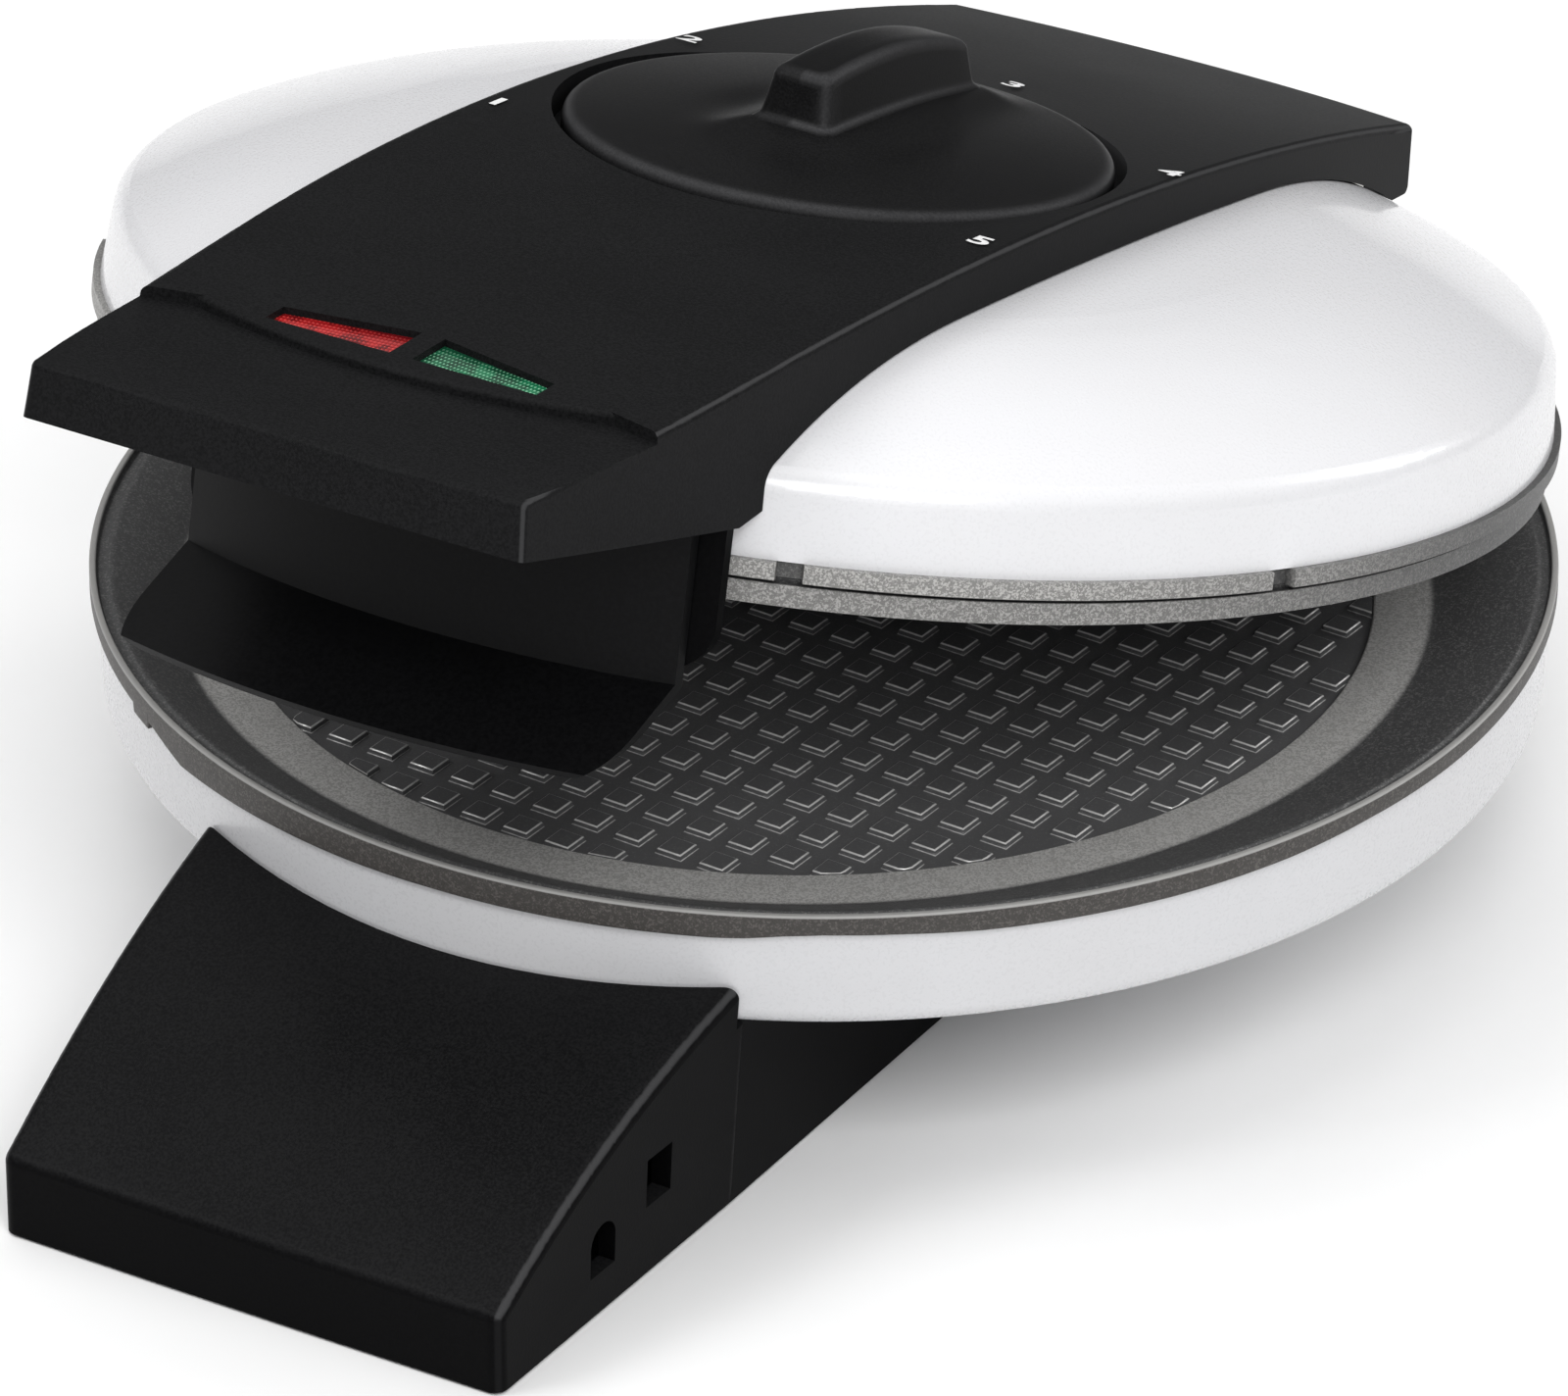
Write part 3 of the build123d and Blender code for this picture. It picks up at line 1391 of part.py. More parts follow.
# Spindle from the dial's hub down into the thermostat's bush
with BuildPart() as dial_spindle:
    with BuildSketch(level(bush_z - spindle_bite + seat_gap, dial_y)):
        Circle(spindle_r)
    extrude(amount=disc_z - bush_z + spindle_bite - 2 * seat_gap)
    chamfer(dial_spindle.edges().filter_by(GeomType.CIRCLE), spindle_r / 6)

dial_spindle.part = swing(dial_spindle.part)
dial_spindle.part.label = "dial_spindle"
export_step(dial_spindle.part, "parts/dial_spindle.step")
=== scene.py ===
# %% [markdown]
# # A stroopwafel maker, dressed for the photograph
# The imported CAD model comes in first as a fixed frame: every solid already stands in its place, in
# metres, with the lid turned a little open. The cells below give each solid its finish, and where a
# photograph shows softer edges or finer relief than a solid should carry, a surface worked out with
# numpy takes the solid's place. Arrays are used throughout, because a whole grid of points is worked
# out in one expression and there is no slow loop over vertices.

import bpy
import numpy as np
from mathutils import Matrix


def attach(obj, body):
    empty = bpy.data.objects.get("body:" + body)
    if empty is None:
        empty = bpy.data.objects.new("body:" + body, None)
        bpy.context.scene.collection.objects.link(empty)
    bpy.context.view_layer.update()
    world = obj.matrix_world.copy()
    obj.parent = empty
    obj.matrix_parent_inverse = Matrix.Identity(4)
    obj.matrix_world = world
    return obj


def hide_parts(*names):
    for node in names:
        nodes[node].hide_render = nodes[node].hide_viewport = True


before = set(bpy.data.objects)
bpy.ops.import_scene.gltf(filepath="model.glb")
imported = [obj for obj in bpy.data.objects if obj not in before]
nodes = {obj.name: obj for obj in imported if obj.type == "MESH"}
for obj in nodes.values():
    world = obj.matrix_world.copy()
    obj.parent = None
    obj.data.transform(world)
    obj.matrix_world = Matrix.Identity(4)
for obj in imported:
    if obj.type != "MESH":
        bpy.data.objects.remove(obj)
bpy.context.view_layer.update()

# %% [markdown]
# ## The sizes that the surfaces share
# The iron has two frames of reference. The base stands still, so its places are read straight off the
# table. The lid was drawn closed and then turned about the hinge, so anything on it is worked out on
# the closed lid, where tops are level and walls are upright, and turned afterwards by one function.
# Sizes are written in millimetres, as they would be measured with callipers, and only the last step
# turns them into metres.

# %% Sizes in millimetres, and the turn of the lid
MM = 0.001
plate_back = 15.0  # the axis of the plates stands this far behind the origin
hinge_y, hinge_z = 129.5, 62.0
lid_turn = np.radians(12.5)


def lid_to_rest(points):
    """Points of the closed lid, turned about the hinge line by the rest opening: front goes up."""
    points = np.asarray(points, float)
    y, z = points[..., 1] - hinge_y, points[..., 2] - hinge_z
    turned = np.empty_like(points)
    turned[..., 0] = points[..., 0]
    turned[..., 1] = hinge_y + y * np.cos(lid_turn) + z * np.sin(lid_turn)
    turned[..., 2] = hinge_z - y * np.sin(lid_turn) + z * np.cos(lid_turn)
    return turned


print("closed front edge, turned:", np.round(lid_to_rest([0, -133.0, 70.0]), 1))

# %% [markdown]
# ## The camera
# The photograph was taken from the right of the handle and from above, with a long lens: lines that
# are parallel on the iron stay almost parallel in the picture. A camera could be aimed by eye, but
# edges of known shape, the two round shells above all, give its place closely enough to lay the render
# over the photograph. Blender's camera looks along its own -Z with +Y up, so the three directions
# below become the columns of its matrix.

# %% Camera
image_width = 1600
focal_pixels = 12001.6
sensor_width = 36.0
right = np.array([0.855907, 0.517129, -0.000412])
down = np.array([0.254197, -0.421417, -0.870512])
forward = np.array([-0.450341, 0.744973, -0.492147])
camera_place = np.array([758.6, -1250.9, 857.2]) * MM

camera_data = bpy.data.cameras.new("photo_camera")
camera_data.sensor_fit = "HORIZONTAL"
camera_data.sensor_width = sensor_width
camera_data.lens = focal_pixels * sensor_width / image_width
camera_data.clip_start, camera_data.clip_end = 0.05, 40.0
camera = bpy.data.objects.new("photo_camera", camera_data)
turn = Matrix.Identity(4)
for column, axis in enumerate((right, -down, -forward)):
    for row in range(3):
        turn[row][column] = axis[row]
turn.translation = camera_place
camera.matrix_world = turn
bpy.context.scene.collection.objects.link(camera)
bpy.context.scene.camera = camera
print("lens in mm:", round(camera_data.lens, 2))

# %% [markdown]
# ## The sky
# The photograph has the even, bright light of a studio table: a pale ground, a wide soft light from
# above, and a darker room near eye level, which is why the black plastic stays deep and its rounded
# edges still catch thin light lines. A sky that is dim at the horizon and bright overhead does the
# same. It could be one flat grey, but then the upright walls would turn as light as the tops. The view
# transform is the plain one, so that a white surface in full light comes out white.

# %% World
scene = bpy.context.scene
scene.view_settings.view_transform = "Standard"
scene.view_settings.look = "None"

world = bpy.data.worlds.new("studio")
scene.world = world
world.use_nodes = True
world_nodes, world_links = world.node_tree.nodes, world.node_tree.links
sky = world_nodes["Background"]
direction = world_nodes.new("ShaderNodeTexCoord")
parts_of_it = world_nodes.new("ShaderNodeSeparateXYZ")
fade = world_nodes.new("ShaderNodeValToRGB")
fade.color_ramp.interpolation = "B_SPLINE"
horizon, overhead = fade.color_ramp.elements
horizon.position, horizon.color = 0.25, (0.10, 0.10, 0.104, 1.0)
overhead.position, overhead.color = 0.95, (1.0, 1.0, 1.0, 1.0)
world_links.new(direction.outputs["Generated"], parts_of_it.inputs[0])
world_links.new(parts_of_it.outputs["Z"], fade.inputs["Fac"])
world_links.new(fade.outputs["Color"], sky.inputs["Color"])
sky.inputs["Strength"].default_value = 0.75
print("sky: dim below", round(horizon.position, 2), "and bright above", round(overhead.position, 2))

# %% [markdown]
# ## Soft boxes and floor
# The sky alone has no direction, so four square lights give one: a wide one above, one near the camera
# that reaches under the open lid, one behind that draws bright lines along the rounded edges, and a
# fill on the left. A sun would give one too, but with hard shadows. An area light shines along its own
# -Z, so each is turned by a matrix whose third column points away from what it lights. The floor
# reaches four metres out, which keeps its edge out of the picture.

# %% Soft boxes and floor
light_aim = (0.0, 0.0, 0.05)


def soft_box(name, place, size, watts):
    """A square area light at place that faces the iron: its -Z axis lies on the line from place to aim."""
    data = bpy.data.lights.new(name, "AREA")
    data.shape, data.size, data.energy = "SQUARE", size, watts
    lamp = bpy.data.objects.new(name, data)
    back = np.array(place) - np.array(light_aim)
    back /= np.linalg.norm(back)
    side = np.cross([0.0, 0.0, 1.0], back)
    side /= np.linalg.norm(side)
    turned = Matrix.Identity(4)
    for column, axis in enumerate((side, np.cross(back, side), back)):
        for row in range(3):
            turned[row][column] = axis[row]
    turned.translation = place
    lamp.matrix_world = turned
    scene.collection.objects.link(lamp)


soft_box("overhead_box", (-0.25, 0.1, 1.5), 1.3, 6.8)
soft_box("back_right_box", (0.98, 1.49, 0.95), 0.7, 8.0)
soft_box("front_left_box", (-0.8, -0.9, 1.2), 0.6, 6.5)
soft_box("camera_side_box", (0.95, -1.05, 1.25), 0.9, 19.0)

floor_mesh = bpy.data.meshes.new("studio_floor")
reach = 4.0
corners = [(-reach, -reach, 0), (reach, -reach, 0), (reach, reach, 0), (-reach, reach, 0)]
floor_mesh.from_pydata(corners, [], [(0, 1, 2, 3)])
floor = bpy.data.objects.new("studio_floor", floor_mesh)
scene.collection.objects.link(floor)

# %% [markdown]
# ## Writing shaders as sums
# A finish is mostly arithmetic: a grain times a strength, one minus a mask, a step between two radii.
# Wiring that up node by node hides the idea, so one small class wraps a socket and lets Python's own
# signs add the Math nodes. Colours never go through it, because a Math node would turn them grey:
# they are blended by a Mix node instead. Everything is laid out on Object coordinates, in metres, so
# a grain of a third of a millimetre stays that size on every piece.

# %% The wrapper
class Amount:
    """A number that varies over a surface. + - * and ** on it add Math nodes."""

    def __init__(self, finish, socket):
        self.finish, self.socket = finish, socket

    def work(self, operation, *terms):
        return self.finish.node("ShaderNodeMath", {"operation": operation}, dict(enumerate(terms)))

    def __add__(self, other):
        return self.work("ADD", self, other)

    __radd__ = __add__

    def __sub__(self, other):
        return self.work("SUBTRACT", self, other)

    def __rsub__(self, other):
        return self.work("SUBTRACT", other, self)

    def __mul__(self, other):
        return self.work("MULTIPLY", self, other)

    __rmul__ = __mul__

    def __pow__(self, power):
        return self.work("POWER", self, power)


print("signs that add Math nodes: + - * **")

# %% [markdown]
# ## A finish
# A finish is one material. What is the same all over the surface is set straight on the shader's own
# sockets, and paint() links what varies. One method makes any node from its type, its settings and its
# sockets, and the short ones below it are the few that every finish here is built from: a smooth noise,
# a honeycomb of random values, a smooth step, a blend of two colours and a bump.

# %% The finish
class Finish:
    """A material: constant values sit on its Principled sockets, and paint() links what varies."""

    def __init__(self, name, **constants):
        self.material = bpy.data.materials.new(name)
        self.material.use_nodes = True
        self.tree = self.material.node_tree
        self.shader = self.tree.nodes["Principled BSDF"]
        for socket, value in constants.items():
            self.set(socket.replace("_", " "), value)
        self.place = self.node("ShaderNodeTexCoord", {}, {}, "Object")

    def set(self, socket, value):
        """A constant, straight on the shader's own socket."""
        self.shader.inputs[socket].default_value = value

    def node(self, kind, settings, sockets, output=0):
        """Any node: its settings first, then the values or links of its sockets."""
        node = self.tree.nodes.new(kind)
        for name, value in settings.items():
            setattr(node, name, value)
        for name, value in sockets.items():
            socket = node.inputs[name]
            if isinstance(value, Amount):
                self.tree.links.new(value.socket, socket)
            else:
                socket.default_value = value
        return Amount(self, node.outputs[output])

    def paint(self, **varying):
        """Links what varies to the shader."""
        for socket, value in varying.items():
            self.tree.links.new(value.socket, self.shader.inputs[socket.replace("_", " ")])

    def noise(self, size, detail=2.0, place=None, rough=0.5):
        """Smooth noise whose lumps are about that many millimetres across."""
        scale = 1.0 / (size * MM)
        return self.node(
            "ShaderNodeTexNoise", {},
            {"Vector": place or self.place, "Scale": scale, "Detail": detail, "Roughness": rough},
        )

    def cells(self, size, output="Color"):
        """A random value for each cell of a honeycomb whose cells are that many millimetres across."""
        scale = 1.0 / (size * MM)
        return self.node(
            "ShaderNodeTexVoronoi", {"feature": "F1"}, {"Vector": self.place, "Scale": scale}, output,
        )

    def wear_and_light(self):
        """The value that the piece keeps with each of its points: painted light, and wear on the pads."""
        return self.node("ShaderNodeAttribute", {"attribute_name": "wear_and_light"}, {}, "Fac")

    def facing(self):
        """The surface's own direction, as three amounts."""
        return self.axes(self.node("ShaderNodeNewGeometry", {}, {}, "Normal"))

    def function(self, operation, value):
        """A function of one amount, such as its sine or its size without the sign."""
        return self.node("ShaderNodeMath", {"operation": operation}, {0: value})

    def axes(self, place=None):
        """The x, y and z of a place as three amounts."""
        split = self.node("ShaderNodeSeparateXYZ", {}, {0: place or self.place})
        return [Amount(self, split.socket.node.outputs[k]) for k in range(3)]

    def step(self, value, low, high, start=0.0, end=1.0):
        """A smooth step: start below low, end above high."""
        return self.node(
            "ShaderNodeMapRange", {"interpolation_type": "SMOOTHSTEP"},
            {"Value": value, "From Min": low, "From Max": high, "To Min": start, "To Max": end},
        )

    def blend(self, mask, first, second):
        """Colour first where the mask is 0, second where it is 1. Inputs 6 and 7 are the colour ones."""
        first, second = (c if isinstance(c, Amount) else (*c, 1.0) for c in (first, second))
        return self.node("ShaderNodeMix", {"data_type": "RGBA"}, {0: mask, 6: first, 7: second}, 2)

    def bump(self, height, depth):
        """A relief that is depth millimetres high where height goes from 0 to 1."""
        return self.node("ShaderNodeBump", {}, {"Height": height, "Distance": depth * MM, "Strength": 1.0})


finishes = {}
print("wrapper ready, a noise of 1 mm has the scale", 1.0 / MM)

# %% [markdown]
# ## Black moulded plastic
# The bridge, handle, dial and foot are one family of mouldings: almost black, with the fine even grain
# of a spark-eroded mould, which scatters the light into a satin sheen. The grain could be a picture,
# but that would have to be laid out flat for each moulding, so it is a noise about half a millimetre
# across that feeds a very shallow bump. A slower noise lets the sheen vary a little, as handled
# plastic does. The long rounded edges get a lighter colour, a painted highlight: they are found by
# the surface's own direction. The shield walls under the handle come from a smoother mould.

# %% Black plastics
# Painted highlight: the lighter colour laid on rounded long edges, where light would catch them.
painted_edge_highlight = (0.060, 0.060, 0.062)


# The mask of the painted highlight: 1 on rounded long edges.
def edge_highlight_mask(f):
    """1 on rounded long edges: there the direction's sideways part and the rest of it are both large."""
    sideways = f.function("ABSOLUTE", f.facing()[0])
    return f.step(sideways * (1.0 - sideways * sideways) ** 0.5, 0.38, 0.50)


def black_finish(name, colour, lighter, roughness, grain, depth, specular, edge=0.0):
    """Near-black plastic: colour and roughness drift with a slow noise, grain is the bump's lump in mm."""
    f = Finish(name, Specular_IOR_Level=specular)
    cloud = f.noise(25.0, 2.0)
    fine = f.noise(grain, 2.0, rough=0.6)
    pits = f.cells(grain * 1.7, "Distance")
    f.paint(
        Base_Color=f.blend(
            edge_highlight_mask(f) * edge,
            f.blend(f.step(cloud * 0.2 + fine * 0.8, 0.35, 0.65), colour, lighter),
            painted_edge_highlight,
        ),
        Roughness=f.step(cloud * 0.3 + fine * 0.7, 0.3, 0.7, roughness - 0.03, roughness + 0.04),
        Normal=f.bump(fine * 0.7 + pits * 0.3, depth),
    )
    finishes[name] = f


# Colour, lighter colour, roughness, size of the grain, depth of the grain, strength of the reflection
black_finish(
    "black_plastic", (0.0058, 0.0059, 0.0062), (0.0110, 0.0111, 0.0117), 0.47, 0.42, 0.022, 0.05, edge=0.6
)
black_finish("shield_plastic", (0.0030, 0.0030, 0.0033), (0.0050, 0.0051, 0.0055), 0.34, 0.60, 0.012, 0.10)
# The inner wall under the lid is painted darker than the other mouldings, as shade.
black_finish("shaded_plastic", (0.0018, 0.0018, 0.0020), (0.0030, 0.0030, 0.0033), 0.42, 0.60, 0.012, 0.03)
black_finish("rubber", (0.014, 0.014, 0.014), (0.022, 0.022, 0.021), 0.75, 0.50, 0.030, 0.30)
black_finish("switch_body", (0.020, 0.018, 0.016), (0.032, 0.029, 0.026), 0.55, 0.50, 0.020, 0.40)
print("black finishes:", len(finishes))

# %% [markdown]
# ## The dial's plastic
# The dial is moulded from the same black. Its rounded edges are painted lighter, a painted highlight
# where they catch the light. Such edges could be found by the surface's direction, as above, but the
# dial is a surface of this file's own, so each of its points carries a value for its painted highlight.

# %% Dial plastic
f = Finish("dial_plastic", Specular_IOR_Level=0.045)
fine = f.noise(0.36, 2.0, rough=0.6)
tone = f.step(fine * 0.8 + f.noise(25.0) * 0.2, 0.35, 0.65)
# The value kept with each point lays a lighter colour, a painted highlight, on the rim and grip's edges.
f.paint(
    Base_Color=f.blend(
        f.wear_and_light() * (0.8 + f.noise(5.0) * 0.4),
        f.blend(tone, (0.0055, 0.0055, 0.0057), (0.0095, 0.0095, 0.0099)),
        f.blend(tone, (0.040, 0.040, 0.042), (0.056, 0.056, 0.058)),
    ),
    Roughness=f.step(fine, 0.3, 0.7, 0.37, 0.44),
    Normal=f.bump(fine, 0.016),
)
finishes["dial_plastic"] = f
print("dial plastic:", len(f.tree.nodes), "nodes")

# %% [markdown]
# ## The foot's plastic
# The base is moulded from the same black, but its level faces are painted a little greyer than its
# upright ones, as painted light and shade: the tops lit from above, the upright sides in shade. Two
# finishes would meet in a hard line on the rounded edges between them, so one finish blends its two
# blacks by the upward part of the surface's own direction, which says how level a place is. The
# rounded edges that face upwards also get the painted edge highlight.

# %% Foot plastic
f = Finish("foot_plastic", Specular_IOR_Level=0.035)
upward = f.facing()[2]
fine = f.noise(0.42, 2.0, rough=0.6)
tone = f.step(fine * 0.8 + f.noise(25.0) * 0.2, 0.35, 0.65)
# Painted light and shade: level faces greyer, upright ones darker, a painted highlight on top edges.
f.paint(
    Base_Color=f.blend(
        edge_highlight_mask(f) * f.step(upward, 0.15, 0.45, 0.1, 0.8),
        f.blend(
            f.step(upward, 0.15, 0.75),
            f.blend(tone, (0.0018, 0.0018, 0.0020), (0.0030, 0.0030, 0.0033)),
            f.blend(tone, (0.0065, 0.0066, 0.0070), (0.0125, 0.0126, 0.0131)),
        ),
        painted_edge_highlight,
    ),
    Roughness=f.step(fine, 0.3, 0.7, 0.38, 0.45),
    Normal=f.bump(fine, 0.020),
)
finishes["foot_plastic"] = f
print("foot plastic:", len(f.tree.nodes), "nodes")

# %% [markdown]
# ## White lacquered steel
# Both shells are pressed steel with a glossy white lacquer. A plain white would do from afar, but
# lacquer isn't featureless: it has a faint orange-peel ripple a few millimetres across, which wobbles
# the reflections, and a barely warmer tint where it thins. A clear coat over a semi-gloss white gives
# the double highlight.

# %% White lacquer
def lacquer(name, colour, thinner, coat):
    """White lacquer: an orange-peel ripple 3 mm across, a slow tint, and a clear coat on top."""
    f = Finish(name, Coat_Roughness=0.06, Coat_IOR=1.45, Specular_IOR_Level=0.5)
    drift = f.noise(30.0, 2.0)
    peel = f.noise(3.2, 1.0)
    dust = f.noise(0.5, 2.0)
    f.paint(
        Base_Color=f.blend(f.step(drift, 0.35, 0.7), colour, thinner),
        Roughness=f.step(dust, 0.3, 0.7, 0.26, 0.32),
        Coat_Weight=f.step(drift, 0.2, 0.8, coat, coat - 0.08),
        Normal=f.bump(peel, 0.008),
    )
    finishes[name] = f


lacquer("white_steel", (0.74, 0.742, 0.76), (0.73, 0.730, 0.745), 0.5)
# The lower shell wears the same lacquer, painted darker as shade.
lacquer("white_steel_shaded", (0.63, 0.632, 0.648), (0.62, 0.620, 0.633), 0.5)
print("lacquers:", [name for name in finishes if name.startswith("white")])

# %% [markdown]
# ## The coated plates
# The plates are cast aluminium with a dark non-stick coat full of metallic flakes. Where the coat is
# thick, on the flange and the field, it looks dark grey with a sprinkle of lighter points. The flat
# ring that meets the other plate is rubbed and looks light and strongly speckled. It could have a
# material of its own, but a mask gives it the soft edge of real wear. The ring isn't centred on the
# rim: it sits a little towards the handle, so its mask is a distance from its own axis.

# %% Flakes
def flakes(f, size, amount, dark, bright):
    """A cell of two honeycombs is bright where the sum of its random values is above a level."""
    chance = f.axes(f.cells(size))[0]
    smaller = f.axes(f.cells(size * 0.6))[1]
    mask = f.step(chance * 0.6 + smaller * 0.4, 1.0 - amount, 1.0 - amount + 0.25)
    return f.blend(mask, dark, bright), mask


print("flakes: two honeycombs, the second finer")

# %% Lower plate's coat
lip_r, lip_z, ring_r, field_r = 105.0, 48.2, 89.7, 81.5
bake_shift = -5.5  # ring and field are set this far towards the handle

f = Finish("coated_plate", Specular_IOR_Level=0.5)
x, y, z = f.axes()


def from_axis(shift):
    """Distance in metres from an upright axis that is set off by the shift from the plates' own."""
    ahead = y - (plate_back + shift) * MM
    return (x * x + ahead * ahead) ** 0.5


def beyond(distance, low, high):
    """1 beyond a radius, in millimetres, with a soft step from low to high."""
    return f.step(distance, low * MM, high * MM)


from_bake, from_rim = from_axis(bake_shift), from_axis(0.0)
past_field = beyond(from_bake, field_r - 0.3, field_r - 0.1)
ring = past_field * (1.0 - beyond(from_bake, ring_r - 0.7, ring_r + 0.5))
side = beyond(from_rim, lip_r - 1.0, lip_r - 0.4)
# Painted highlight: the lip's top is painted lighter, where its rounded edge would catch the light.
lip_highlight = beyond(from_rim, lip_r - 1.4, lip_r - 1.2) * beyond(z, lip_z - 0.45, lip_z - 0.25)
dark_coat, dark_mask = flakes(f, 0.30, 0.42, (0.066, 0.066, 0.067), (0.16, 0.16, 0.157))
ring_coat, ring_mask = flakes(f, 0.30, 0.62, (0.48, 0.472, 0.457), (0.72, 0.71, 0.693))
side_coat, _ = flakes(f, 0.32, 0.45, (0.038, 0.034, 0.031), (0.090, 0.083, 0.076))
field_coat, _ = flakes(f, 0.30, 0.30, (0.100, 0.100, 0.102), (0.155, 0.155, 0.156))
inner_colour = f.blend(1.0 - past_field, f.blend(ring, dark_coat, ring_coat), field_coat)
colour = f.blend(lip_highlight, f.blend(side, inner_colour, side_coat), (0.36, 0.355, 0.345))
grain = f.noise(0.6, 3.0, rough=0.6)
f.paint(
    Base_Color=colour,
    Metallic=ring * 0.35 + dark_mask * 0.15,
    Roughness=0.40 + grain * 0.16 - ring * 0.05,
    Normal=f.bump(grain * 0.6 + ring_mask * 0.4, 0.030),
)
finishes["coated_plate"] = f
print("plate coat:", len(f.tree.nodes), "nodes")

# %% [markdown]
# ## The coat on the pads
# The pads wear a coat like the field's, with a pale band on some edges: worn coat and painted highlight.
# The surface's direction could find every edge, but not tell the bright ones from the others, so each
# point of a pad carries a value for its pale band, and a noise breaks up the bright lines.

# %% Pads' coat
f = Finish("pad_coat", Specular_IOR_Level=0.5)
pad_colour, _ = flakes(f, 0.30, 0.30, (0.090, 0.090, 0.092), (0.140, 0.140, 0.141))
# A pale metallic band on each pad's shoulder and foot: partly worn coat, partly painted highlight.
rub_and_highlight = f.step(f.wear_and_light() * 0.8 + f.noise(0.8, 3.0) * 0.4, 0.45, 0.95)
grain = f.noise(0.6, 3.0, rough=0.6)
f.paint(
    Base_Color=f.blend(rub_and_highlight, pad_colour, (0.78, 0.775, 0.76)),
    Metallic=rub_and_highlight * 0.35,
    Roughness=0.42 + grain * 0.14 - rub_and_highlight * 0.14,
    Normal=f.bump(grain, 0.020),
)
finishes["pad_coat"] = f
print("pad coat:", len(f.tree.nodes), "nodes")

# %% [markdown]
# ## The upper plate's rim
# From the front only the stepped edge of the upper plate shows, light and very speckled, with a groove
# between its two steps that is painted dark as shade. Its underside is painted darker than the field
# below, as shade. Radii could mask this coat as they do the lower one, but the lid is turned, so a
# value kept with each point of the surface says how much painted light the coat gets there.

# %% Upper plate's coat
f = Finish("coated_rim", Specular_IOR_Level=0.5)
rim_coat, rim_mask = flakes(f, 0.28, 0.55, (0.20, 0.197, 0.190), (0.46, 0.452, 0.438))
dark_coat, _ = flakes(f, 0.30, 0.42, (0.030, 0.030, 0.031), (0.10, 0.10, 0.098))
grain = f.noise(0.6, 3.0, rough=0.6)
# The kept value picks the light coat where painted light falls and the dark one as painted shade.
f.paint(
    Base_Color=f.blend(f.wear_and_light(), dark_coat, rim_coat),
    Metallic=rim_mask * 0.25,
    Roughness=0.40 + grain * 0.16,
    Normal=f.bump(grain * 0.6 + rim_mask * 0.4, 0.030),
)
finishes["coated_rim"] = f
print("rim coat:", len(f.tree.nodes), "nodes")

# %% [markdown]
# ## Metals and small parts
# The element's steel tube, the bright reflector sheets and the screws are hidden in use, and show when
# somebody opens the model. One grey metal could serve them all, but each gets its own look: a brown
# heat tint on the tube, a rolled grain on the sheets and a fine drawn grain on the screws.

# %% Metals
def metal(name, colour, other, size, roughness, stretch=(1.0, 1.0, 1.0)):
    """Metal: a slow noise drives its tint, a finer one that can be stretched its roughness and relief."""
    f = Finish(name, Metallic=1.0)
    drawn = f.node("ShaderNodeMapping", {}, {"Vector": f.place, "Scale": stretch})
    grain = f.noise(size, 4.0, place=drawn, rough=0.6)
    slow = f.noise(9.0, 2.0)
    f.paint(
        Base_Color=f.blend(f.step(slow, 0.35, 0.65), colour, other),
        Roughness=f.step(grain, 0.3, 0.7, roughness - 0.06, roughness + 0.10),
        Normal=f.bump(grain, 0.010),
    )
    finishes[name] = f


metal("element_steel", (0.34, 0.31, 0.28), (0.24, 0.20, 0.17), 0.5, 0.42)
metal("bright_sheet", (0.72, 0.72, 0.71), (0.62, 0.62, 0.61), 0.6, 0.30, (0.15, 1.0, 1.0))
metal("screw_steel", (0.55, 0.54, 0.52), (0.44, 0.43, 0.42), 0.25, 0.32, (1.0, 1.0, 0.2))
print("metals: element_steel, bright_sheet, screw_steel")

# %% [markdown]
# ## Lamp lenses
# The two lenses are clear tinted plastic with a fine grid of cells moulded into the back. Light enters,
# bounces under the grid and comes back coloured. Real transmission would need lamps and walls behind
# the lens, so a saturated base does it instead, with the grid as bump and as bright points, a trace of
# its own light, and a deeper colour towards the end that lies in the window's shade.

# %% Lenses
def wave(f, along, length):
    """A sine along one coordinate, moved to run from 0 to 1 and back once in that many millimetres."""
    return f.function("SINE", along * (2 * np.pi / (length * MM))) * 0.5 + 0.5


def lens(name, deep, middle, bright, along):
    """Tinted lens: a grid of moulded cells turned along its length, with painted glints at their crests."""
    f = Finish(name, Coat_Weight=0.6, Coat_Roughness=0.04, IOR=1.49, Specular_IOR_Level=0.5)
    turned = f.node("ShaderNodeMapping", {}, {"Vector": f.place, "Rotation": (0.0, 0.0, np.radians(along))})
    x, y, _ = f.axes(turned)
    ribs, rows = wave(f, x, 0.62), wave(f, y, 0.9)
    streak = f.noise(2.6, 2.0)
    crest = f.step(ribs * rows + streak * 0.5, 0.60, 1.15)
    shade = f.step(f.axes()[1] + streak * (3.0 * MM), -90.0 * MM, -84.0 * MM)
    lit = f.blend(crest, f.blend(f.step(streak, 0.35, 0.62), deep, middle), bright)
    f.paint(
        Base_Color=f.blend(shade, lit, deep),
        Roughness=f.step(streak, 0.3, 0.7, 0.12, 0.24),
        Emission_Color=f.blend(crest, deep, middle),
        Normal=f.bump(ribs * 0.5 + rows * 0.5, 0.12),
    )
    # A faint glow, painted light that stands in for light passing through the lens.
    f.set("Emission Strength", 0.12)
    finishes[name] = f


